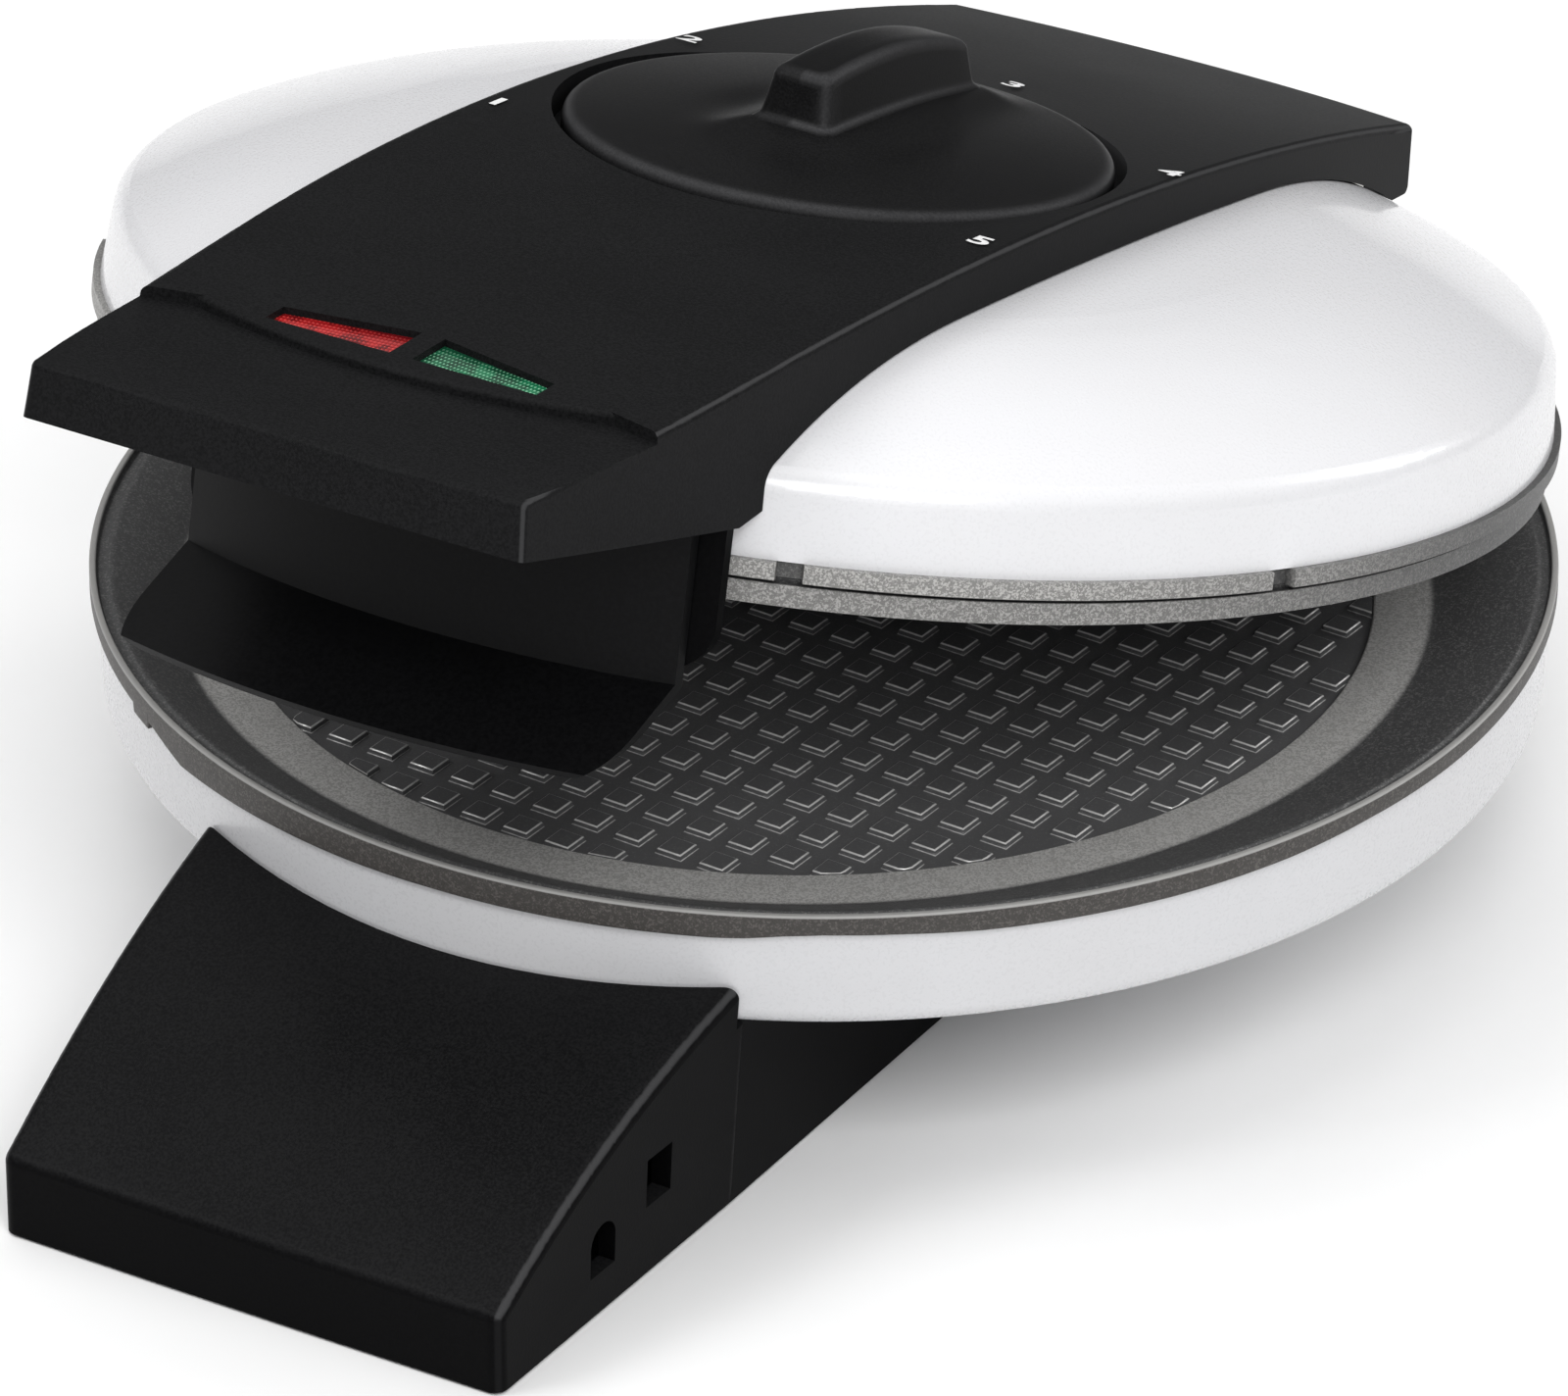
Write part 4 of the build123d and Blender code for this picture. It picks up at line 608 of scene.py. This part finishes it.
lens("red_clear", (0.10, 0.002, 0.004), (0.42, 0.010, 0.012), (0.60, 0.05, 0.04), -8.0)
lens("green_clear", (0.003, 0.045, 0.020), (0.010, 0.19, 0.080), (0.24, 0.58, 0.36), 8.0)
print("lenses: red_clear, green_clear")

# %% [markdown]
# ## Lamps, print and floor
# Three plain finishes are left: the small lamps' warm glass, the white ink of the numbers, and the
# paper that the iron stands on, which is nearly white so that the ground of the picture is.

# %% Small finishes
f = Finish("lamp_glass", Roughness=0.08, IOR=1.5, Transmission_Weight=0.6)
f.paint(Base_Color=f.blend(f.step(f.noise(2.0), 0.4, 0.6), (0.85, 0.80, 0.72), (0.70, 0.55, 0.40)))
finishes["lamp_glass"] = f

f = Finish("white_print", Roughness=0.5)
f.paint(Base_Color=f.blend(f.step(f.noise(0.3, 3.0), 0.45, 0.75), (0.82, 0.82, 0.82), (0.62, 0.62, 0.62)))
finishes["white_print"] = f

f = Finish("floor_paper", Specular_IOR_Level=0.2)
f.paint(
    Base_Color=f.blend(f.step(f.noise(60.0, 3.0), 0.3, 0.7), (0.93, 0.93, 0.93), (0.945, 0.945, 0.945)),
    Roughness=f.step(f.noise(1.0, 2.0), 0.3, 0.7, 0.75, 0.85),
)
finishes["floor_paper"] = f
floor.data.materials.append(finishes["floor_paper"].material)
print("finishes:", sorted(finishes))

# %% [markdown]
# ## Who wears what
# Finishes could be given one solid at a time, but in one table they are read at a glance. It also
# names the solids that a new surface replaces further down. Only a solid's material slots are filled:
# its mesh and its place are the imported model's.

# %% Finishes for the solids
worn_by = {
    "black_plastic": ["bridge_cover", "handle_underside", "hinge_arm", "dial_knob"],
    "foot_plastic": ["base_housing", "base_cover"],
    "shield_plastic": ["front_shield"],
    "shaded_plastic": ["inner_wall"],
    "white_steel": ["upper_shell"],
    "white_steel_shaded": ["lower_shell"],
    "coated_plate": ["lower_plate"],
    "coated_rim": ["upper_plate"],
    "element_steel": ["lower_element", "upper_element"],
    "bright_sheet": ["lower_reflector", "upper_reflector"],
    "screw_steel": [
        "base_screws", "plate_screws", "lid_screws", "cover_screws", "handle_screws", "arm_screws",
        "hinge_pin", "dial_spindle",
    ],
    "rubber": ["rubber_feet", "cord_gland"],
    "switch_body": ["thermostat", "terminal_block", "lamp_holder"],
    "red_clear": ["red_lens"],
    "green_clear": ["green_lens"],
    "lamp_glass": ["signal_lamps"],
}
for finish_name, members in worn_by.items():
    for member in members:
        nodes[member].data.materials.clear()
        nodes[member].data.materials.append(finishes[finish_name].material)
print("dressed:", sum(len(m) for m in worn_by.values()), "of", len(nodes))

# %% [markdown]
# ## Making a surface from rows
# Almost everything on this iron is turned or moulded, so it can be told as a stack of closed rows:
# circles for the plates and the dial's disc, rounded rectangles for its grip. Spin would turn a
# profile too, but it keeps every row a true circle, and here some rows dip or hang. Each row has the
# same number of points, and neighbouring rows are joined by four-sided faces. When a row has shrunk to
# one point or line, the surface is closed by merging the points that fall together: a face that keeps
# three corners becomes a triangle, and one that keeps fewer is dropped.

# %% Faces between rows
def row_faces(levels, around):
    """Four-sided faces of one stack: each joins a point, the next one round, and the two above them."""
    row, point = np.meshgrid(np.arange(levels - 1), np.arange(around), indexing="ij")
    along = (point + 1) % around
    low, high = row * around, (row + 1) * around
    return np.stack([low + point, low + along, high + along, high + point], -1).reshape(-1, 4)


print("faces of a stack of 3 rows of 4 points:", len(row_faces(3, 4)))

# %% Points and faces to a piece
same_digits = 4  # points that agree to this many digits of a millimetre are one


def piece_from_faces(name, points, faces, finish_name, sharp_degrees, wear_and_light=None):
    """A mesh piece from points in mm and faces: equal points are merged and flat faces dropped."""
    unique, first, back = np.unique(
        np.round(points, same_digits), axis=0, return_index=True, return_inverse=True
    )
    faces = back.reshape(-1)[faces]
    kept = faces != np.roll(faces, -1, axis=1)
    corners = kept.sum(axis=1)
    solid = corners >= 3
    faces, kept, corners = faces[solid], kept[solid], corners[solid]
    mesh = bpy.data.meshes.new(name)
    mesh.vertices.add(len(unique))
    mesh.vertices.foreach_set("co", (unique * MM).astype(np.float32).ravel())
    mesh.loops.add(int(corners.sum()))
    mesh.loops.foreach_set("vertex_index", faces[kept].astype(np.int32))
    mesh.polygons.add(len(faces))
    mesh.polygons.foreach_set("loop_start", np.append(0, np.cumsum(corners)[:-1]).astype(np.int32))
    mesh.update(calc_edges=True)
    mesh.validate()
    if wear_and_light is not None:
        wear_and_light_values = mesh.attributes.new("wear_and_light", "FLOAT", "POINT")
        wear_and_light_values.data.foreach_set("value", np.asarray(wear_and_light, np.float32).ravel()[first])
    mesh.shade_smooth()
    mesh.set_sharp_from_angle(angle=np.radians(sharp_degrees))
    mesh.materials.append(finishes[finish_name].material)
    piece = bpy.data.objects.new(name, mesh)
    scene.collection.objects.link(piece)
    print(name, "points", len(unique), "faces", len(faces))
    return piece


def piece_from_rows(name, rows, finish_name, sharp_degrees, wear_and_light=None):
    """Joins rows of points, an array of (row, point, xyz) in mm, into a closed skin and smooths it."""
    faces = row_faces(*rows.shape[:2])
    return piece_from_faces(name, rows.reshape(-1, 3), faces, finish_name, sharp_degrees, wear_and_light)


print("points that agree to", 10.0**-same_digits, "mm are merged")

# %% Soft corners
def soften(corners, cuts, steps=4):
    """Each corner of a path becomes a parabola that starts and ends a cut's length away from it."""
    corners = np.asarray(corners, float)
    path = [corners[:1]]
    share = np.linspace(0.0, 1.0, steps + 1)[:, None]
    for before, corner, after, cut in zip(corners[:-2], corners[1:-1], corners[2:], cuts):
        if cut == 0:
            path.append(corner[None])
            continue
        start = corner + (before - corner) / np.linalg.norm(before - corner) * cut
        end = corner + (after - corner) / np.linalg.norm(after - corner) * cut
        path.append((1 - share) ** 2 * start + 2 * share * (1 - share) * corner + share**2 * end)
    path.append(corners[-1:])
    return np.concatenate(path)


print("a softened corner:", np.round(soften([(0, 0), (1, 0), (1, 1)], [0.5]), 2).tolist())

# %% [markdown]
# ## The lower plate
# The real plate is one casting: a rim with a thin raised lip and a groove behind it, a flange that
# slopes down to a flat ring, and the baking field. The rim is round about the middle of the iron, but
# ring and field are set towards the handle, so each row of the surface carries its own centre. The
# band below the rim is not even: at the front it hangs down as a drip apron, with a small lug on the
# left, and those depths were read off the photograph at many angles.

# %% Circles round the plates
def circle_turns(count, extra):
    """Angles in degrees round the plates, 0 at the front and positive to the right, with extra ones."""
    return np.unique(np.concatenate([np.linspace(-180, 180, count + 1)[:-1], extra]))


def circle_rows(turns, shift, radius, height):
    """Sine of the angle times the radius to the right, its cosine to the front of the shifted centre."""
    right_part, front_part = np.sin(np.radians(turns)), -np.cos(np.radians(turns))
    across = radius * right_part
    return np.stack([across, plate_back + shift + radius * front_part, height + 0 * across], axis=-1)


print("a circle's front and right points:", circle_rows(np.array([0, 90]), 0.0, lip_r, lip_z).tolist())

# %% Lower plate
ring_z, field_z, under_z, rim_z = 43.8, 43.1, 39.6, 44.9

# The band's lower edge: angle from the front, height
band = np.array(
    [
        (-180, 45.2), (-60, 45.0), (-40, 44.95), (-36.35, 44.9), (-36.15, 43.5), (-33.35, 43.5),
        (-33.1, 44.6), (-32.4, 44.6), (-27.6, 42.75), (-23, 43.0), (-15, 43.4), (-8, 43.6), (0, 43.9),
        (13, 44.05), (22.8, 44.2), (25.1, 44.4), (28, 44.95), (31, 45.2), (37, 45.05), (43, 44.7),
        (58, 44.65), (69, 44.85), (77, 45.25), (100, 45.3), (180, 45.2),
    ]
)

# Each corner: centre's shift in y, radius, height, and how far it follows the band's lower edge
plate_path = soften(
    [
        (0.0, 0.0, under_z, 0), (0.0, 92.4, under_z, 0), (0.0, 102.8, rim_z, 0), (0.0, 104.3, rim_z, 0),
        (0.0, 104.3, rim_z, 1), (0.0, lip_r, rim_z, 1), (0.0, lip_r, lip_z, 0), (0.0, 104.05, lip_z, 0),
        (0.0, 103.95, 47.5, 0), (0.0, 103.7, 47.0, 0), (0.0, 102.6, 47.0, 0), (0.0, 102.15, 47.3, 0),
        (0.0, 101.5, 47.2, 0), (bake_shift, ring_r, ring_z, 0), (bake_shift, field_r, ring_z, 0),
        (bake_shift, field_r - 0.25, field_z, 0), (bake_shift, 0.0, field_z, 0),
    ],
    [0, 0, 0, 0, 0.22, 0.38, 0.30, 0.15, 0.15, 0.15, 0.2, 0.35, 2.2, 0.25, 0.15],
)
turns = circle_turns(900, band[1:-1, 0])
hang = np.interp(turns, *band.T) - rim_z
shift, radius, height, follow = plate_path.T[:, :, None]
lower_dish = piece_from_rows(
    "lower_dish", circle_rows(turns, shift, radius, height + follow * hang), "coated_plate", 50.0
)

# %% [markdown]
# ## The pads of the baking field
# Some four hundred low square pads cover the field. They are one small shape repeated: a stack of
# rounded squares, narrower towards the top. An Array modifier repeats a shape in rows too, but it
# can't stop at a round edge. With numpy, adding an array of places to an array of corner points gives
# every pad at once. A pale band is painted along the shoulder and where a pad meets the field, worn
# coat and painted highlight, and the upright side between them stays dark. The whole pattern is
# turned a few degrees, and pads that would cross the ring are cut off by it.

# %% One pad
pad_half, pad_turn = 2.0, np.radians(-3.3)


def turned_about(points, angle):
    """Points or vectors in x and y, turned to the left by the angle."""
    return points @ np.array([[np.cos(angle), np.sin(angle)], [-np.sin(angle), np.cos(angle)]])


# Twelve directions, each as long as it takes to reach the square's side
way = np.linspace(0, 2 * np.pi, 13)[:-1] + np.pi / 12
unit = np.stack([np.cos(way), np.sin(way)], -1)
square = turned_about(unit / np.abs(unit).max(axis=1)[:, None], pad_turn)

# Each level: size against the pad's half width, height, and its share of the pale band
pad_levels = np.array(
    [
        (1.12, 0.0, 0.40), (1.06, 0.05, 0.80), (1.015, 0.14, 0.0), (0.99, 0.52, 0.0), (0.975, 0.64, 0.75),
        (0.93, 0.76, 1.0), (0.88, 0.80, 0.55), (0.84, 0.80, 0.0), (0.0, 0.80, 0.0),
    ]
)
outline = pad_levels[:, None, :1] * pad_half * square
pad_rows = np.concatenate([outline, np.repeat(pad_levels[:, None, 1:2], len(square), axis=1)], axis=-1)
print("faces of one pad:", len(row_faces(*pad_rows.shape[:2])))

# %% All pads
pad_pitch, pad_start, pads_along = 7.0, -0.77, 25
pad_edge = 0.3  # a cut pad ends this far inside the field's edge

steps = (np.arange(pads_along) - pads_along // 2) * pad_pitch + pad_start
spots = turned_about(np.stack(np.meshgrid(steps, steps), -1).reshape(-1, 2), pad_turn)
spots = spots[np.hypot(*spots.T) < field_r - 2 * pad_edge]
pad_wear_and_highlight = np.tile(np.repeat(pad_levels[:, 2], len(square)), len(spots))


def pads_at(rows, face_z):
    """The stack of rows at every spot, pulled in to the field's edge, and the faces of all stacks."""
    levels, around = rows.shape[:2]
    points = np.append(spots, 0 * spots[:, :1], axis=1)[:, None, None, :] + rows
    distance = np.hypot(points[..., 0], points[..., 1])
    points[..., :2] *= np.minimum(1.0, (field_r - pad_edge) / np.maximum(distance, 1.0))[..., None]
    faces = np.arange(len(spots))[:, None, None] * levels * around + row_faces(levels, around)
    return (points + [0, plate_back + bake_shift, face_z]).reshape(-1, 3), faces.reshape(-1, 4)


pad_points, pad_faces = pads_at(pad_rows, field_z)
baking_pads = piece_from_faces("baking_pads", pad_points, pad_faces, "pad_coat", 60.0, pad_wear_and_highlight)
for piece in (lower_dish, baking_pads):
    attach(piece, "base")
    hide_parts("lower_plate")
print("pads:", len(spots))

# %% [markdown]
# ## The upper plate
# The upper plate is turned about the same axis: a dark baking face with the same pads, and an edge in
# two steps with a fine groove between them. The upper step is interrupted by four notches, two on each
# side of the front. They could be cut out with a Boolean, but a dip in the step's radius, which
# depends on the angle only, leaves a cleaner mesh. The edge is light round the front and fades to the
# dark coat on the way back, as painted shade, and the notches are painted dark as shade too.

# %% Upper plate
upper_field_z, upper_ring_z, flange_z, upper_under_z = 48.1, 47.4, 49.05, 51.6
lower_step_r, upper_step_r, groove_r, seat_r = 103.4, 104.6, 102.4, 100.4
notch_middles = np.array([-66.8, -27.5, 27.5, 66.8])
notch_half, notch_flank, notch_depth = 1.05, 0.1, 1.9  # the first two in degrees

# Each corner: centre's shift in y, radius, height, whether the notches cut it, and its painted light
upper_path = soften(
    [
        (bake_shift, 0.0, upper_field_z, 0, 0), (bake_shift, field_r - 0.25, upper_field_z, 0, 0),
        (bake_shift, field_r, upper_ring_z, 0, 0), (bake_shift, 88.85, upper_ring_z, 0, 0),
        (0.0, 99.1, flange_z, 0, 0), (0.0, lower_step_r - 0.2, flange_z, 0, 0),
        (0.0, lower_step_r, 49.2, 0, 0.75), (0.0, lower_step_r, 52.2, 0, 0.75),
        (0.0, lower_step_r - 0.1, 52.3, 0, 0), (0.0, groove_r, 52.35, 0, 0), (0.0, groove_r, 52.9, 0, 0),
        (0.0, upper_step_r - 0.2, 52.95, 1, 0), (0.0, upper_step_r, 53.1, 1, 1),
        (0.0, upper_step_r, 55.55, 1, 1), (0.0, seat_r, 55.55, 0, 0), (0.0, seat_r, upper_under_z, 0, 0),
        (0.0, 0.0, upper_under_z, 0, 0),
    ],
    [0, 0, 0, 0, 0.5, 0, 0, 0, 0, 0, 0, 0, 0, 0.25, 0.5, 0.5],
)
flanks = np.array([-notch_half, notch_flank - notch_half, notch_half - notch_flank, notch_half])
turns = circle_turns(720, (notch_middles[:, None] + flanks).ravel())
nearest = np.abs(turns[:, None] - notch_middles).min(axis=1)
notch = np.clip((notch_half - nearest) / notch_flank, 0.0, 1.0)
shift, radius, height, upper_step, light_share = upper_path.T[:, :, None]
upper_rows = circle_rows(turns, shift, radius - notch_depth * upper_step * notch, height)

# How much painted light the coat gets: all up to 46 degrees from the front, none beyond 96, smooth between
lit_turn, shaded_turn = 46.0, 96.0
front_light = np.clip((shaded_turn - np.abs(turns)) / (shaded_turn - lit_turn), 0.0, 1.0)
front_light = front_light * front_light * (3 - 2 * front_light)
most = 0.85  # the share of its light that the coat loses in a notch, and also at the back
upper_light = light_share * (1.0 - most * upper_step * notch) * (1.0 - most + most * front_light)
upper_dish = piece_from_rows("upper_dish", lid_to_rest(upper_rows), "coated_rim", 40.0, upper_light)

# %% Upper pads
hung_points, hung_faces = pads_at(pad_rows[:, ::-1] * [1, 1, -1], upper_field_z)
hung_points = lid_to_rest(hung_points)
upper_pads = piece_from_faces("upper_pads", hung_points, hung_faces, "pad_coat", 60.0, pad_wear_and_highlight)
for piece in (upper_dish, upper_pads):
    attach(piece, "lid")
    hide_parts("upper_plate")
print("upper plate rides the lid, its face at", upper_field_z, "when closed")

# %% [markdown]
# ## The dial
# The dial is a shallow domed disc with a soft outer edge, and a tall grip that runs further to the
# back than to the front, so that it points at a number. Around the grip the disc swells up to it, and
# on both sides it is dished for the fingers. It could be sculpted, but bell curves added to a dome
# stay smooth and can be read. The disc is a stack of circles whose height is a function of place, and
# the grip is a stack of rounded rectangles that ends in its crest line. A value kept with each point
# says how strong its painted highlight is.

# %% Heights of disc and grip
dial_y, dial_r, disc_low, disc_rim, disc_top = -4.0, 39.2, 83.25, 87.25, 89.65
rib_near, rib_far, rib_half = -14.25, 28.05, 5.5
crest_y, crest_z, near_drop, far_drop = 5.0, 99.85, 1.5, 3.4
swelling_rise, swelling_reach = 1.7, 5.0
hollow_depth, hollow_x, hollow_y, hollow_wide, hollow_long = 0.6, 12.5, -4.0, 4.5, 9.0


def disc_height(x, y):
    """Dome over the distance from the axis, a swelling round the grip, and a hollow on each side of it."""
    dome = disc_rim + (disc_top - disc_rim) * (1 - np.minimum((x * x + y * y) / dial_r**2, 1.0))
    aside, along = np.maximum(np.abs(x) - rib_half, 0), np.maximum(np.maximum(rib_near - y, y - rib_far), 0)
    swelling = np.exp(-(aside**2 + along**2) / swelling_reach**2)
    hollow = np.exp(-(((np.abs(x) - hollow_x) / hollow_wide) ** 2) - ((y - hollow_y) / hollow_long) ** 2)
    return dome + swelling_rise * swelling - hollow_depth * hollow


def crest_height(y):
    """Two parabolas that meet at the crest and drop to the near and to the far end of the grip."""
    near = ((crest_y - y) / (crest_y - rib_near)) ** 2 * near_drop
    far = ((y - crest_y) / (rib_far - crest_y)) ** 2 * far_drop
    return crest_z - np.where(y < crest_y, near, far)


print("disc and crest over the middle:", disc_height(0.0, 0.0).round(2), crest_height(0.0).round(2))

# %% Disc
disc_turn = np.linspace(0, 2 * np.pi, 241)[:-1]
edge_corners = [(dial_r, disc_low), (dial_r, disc_rim + 0.05), (dial_r - 3.0, disc_rim + 0.36)]
edge = soften(edge_corners, [1.9], 7)[1:-1]
rim_path = np.array([(0.0, disc_low), (dial_r - 0.6, disc_low), (dial_r, disc_low + 0.6), *edge])
inner_r = np.linspace(dial_r - 2.0, 0.0, 48)[1:]
all_r = np.append(rim_path[:, 0], inner_r)[:, None]
disc_x, disc_y = all_r * np.sin(disc_turn), -all_r * np.cos(disc_turn)
disc_z = disc_height(disc_x, disc_y)
disc_z[: len(rim_path)] = rim_path[:, 1:]
disc_rows = np.stack([disc_x, disc_y, disc_z], -1) + [0, plate_back + dial_y, 0]

# The painted highlight is a bell over the distance from a point inside the disc's rounded upper edge
bell_r, bell_z, bell_width, full_highlight = dial_r - 0.5, disc_rim - 0.3, 0.9, 0.75
from_edge = (rim_path[:, 0] - bell_r) ** 2 + (rim_path[:, 1] - bell_z) ** 2
highlight = full_highlight * np.append(np.exp(-from_edge / bell_width**2), 0 * inner_r)
dial_disc = piece_from_rows(
    "dial_disc", lid_to_rest(disc_rows), "dial_plastic", 60.0, np.repeat(highlight, len(disc_turn))
)

# %% Grip
def rib_outline(inset, corner):
    """Rounded rectangle round the grip, moved in by the inset: four quarter circles and straights."""
    half, near, far = rib_half - inset, rib_near + inset, rib_far - inset
    quarter = np.linspace(0, np.pi / 2, 12)
    straight = np.linspace(0, 1, 14)[1:-1]
    arcs = []
    centres = [
        (half - corner, near + corner, -np.pi / 2), (half - corner, far - corner, 0.0),
        (corner - half, far - corner, np.pi / 2), (corner - half, near + corner, np.pi),
    ]
    for x, y, start in centres:
        way = start + quarter
        arcs.append(np.stack([x + corner * np.cos(way), y + corner * np.sin(way)], -1))
    outline = []
    for this, following in zip(arcs, arcs[1:] + arcs[:1]):
        outline += [this, this[-1] + straight[:, None] * (following[0] - this[-1])]
    return np.concatenate(outline)


# Each level: inset from the outline, corner radius, what its height follows, lift, and painted highlight
rib_levels = [
    (-1.5, 2.4, "disc", -0.12, 0.0), (-1.1, 2.2, "disc", 0.06, 0.1), (-0.72, 2.0, "disc", 0.30, 0.75),
    (-0.45, 1.9, "disc", 0.52, 1.0), (-0.24, 1.7, "disc", 0.78, 0.45), (-0.10, 1.6, "disc", 1.10, 0.0),
    (0.0, 1.5, "disc", 1.50, 0.0), (0.70, 1.4, "crest", -1.9, 0.0), (0.78, 1.4, "crest", -1.25, 0.35),
    (1.0, 1.4, "crest", -0.75, 0.8), (1.4, 1.5, "crest", -0.34, 0.9), (1.9, 1.6, "crest", -0.12, 0.5),
    (2.6, 1.6, "crest", 0.0, 0.0), (4.0, 1.2, "crest", 0.0, 0.0), (5.499, 0.001, "crest", 0.0, 0.0),
]
middle_highlight, side_highlight, highlight_fade, least_highlight, corner_width = 0.62, 0.30, 0.012, 0.15, 1.3
rib_rows, rib_highlight = [], []
for inset, corner, kind, lift, highlight in rib_levels:
    outline = rib_outline(inset, corner)
    x, y = outline[:, 0], outline[:, 1]
    z = disc_height(x, y) if kind == "disc" else crest_height(y)
    rib_rows.append(np.stack([x, y, z + lift], -1))
    # The painted highlight is strongest on the right side and on the corner towards the handle
    rub_and_highlight = np.clip(middle_highlight + side_highlight * np.sign(x) - highlight_fade * (y - rib_near), least_highlight, 1.0)
    corner_highlight = full_highlight * np.exp(-((x - x.max()) ** 2 + (y - y.min()) ** 2) / corner_width**2)
    rib_highlight.append(np.maximum(highlight * rub_and_highlight, corner_highlight * (inset > -1.0) * (inset < 2.0)))
rib_rows = np.array(rib_rows) + [0, plate_back + dial_y, 0]
dial_grip = piece_from_rows(
    "dial_grip", lid_to_rest(rib_rows), "dial_plastic", 60.0, np.concatenate(rib_highlight)
)
for piece in (dial_disc, dial_grip):
    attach(piece, "dial")
    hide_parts("dial_knob")
print("crest of the grip:", crest_z, "when the lid is closed")

# %% [markdown]
# ## The numbers round the dial
# Five plain numbers are printed in white round the dial, from left to right, all upright as seen from
# the handle. A picture laid on the bridge would blur when seen close, so Blender's own figures are
# turned into a mesh. It is then widened, laid on the bridge by the height of its arched top at each
# point, and turned with the lid.

# %% Bridge's top
arc_top_y, arc_r, bridge_z = -7.375, 633.0, 87.15


def bridge_height(y):
    """The bridge's top over the plates' axis: one arc behind the handle's straight part."""
    return bridge_z - arc_r + np.sqrt(arc_r**2 - (y - arc_top_y) ** 2)


print("bridge's top over the dial:", bridge_height(dial_y).round(2))

# %% Numbers
number_places = {
    "1": (-40.3, -30.6), "2": (-39.6, 21.2), "3": (0.9, 44.9), "4": (41.0, 18.9), "5": (39.6, -33.2),
}
number_height, number_widening, ink_lift, stroke_swell = 3.5, 1.45, 0.25, 0.028

for figure, (middle_x, middle_y) in number_places.items():
    text = bpy.data.curves.new("number_" + figure, "FONT")
    text.body, text.offset = figure, stroke_swell
    holder = bpy.data.objects.new("figure", text)
    scene.collection.objects.link(holder)
    mesh = bpy.data.meshes.new_from_object(holder)
    bpy.data.objects.remove(holder)
    bpy.data.curves.remove(text)
    flat = np.zeros(len(mesh.vertices) * 3)
    mesh.vertices.foreach_get("co", flat)
    flat = flat.reshape(-1, 3)
    low_corner, high_corner = flat.min(axis=0), flat.max(axis=0)
    flat = (flat - (low_corner + high_corner) / 2) * number_height / (high_corner - low_corner)[1]
    x, y = middle_x + flat[:, 0] * number_widening, middle_y + flat[:, 1]
    printed = np.stack([x, y + plate_back, bridge_height(y) + ink_lift], -1)
    mesh.vertices.foreach_set("co", (lid_to_rest(printed) * MM).ravel())
    mesh.update()
    mesh.materials.clear()
    mesh.materials.append(finishes["white_print"].material)
    number = bpy.data.objects.new("number_" + figure, mesh)
    scene.collection.objects.link(number)
    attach(number, "lid")
print("numbers:", ", ".join(number_places))
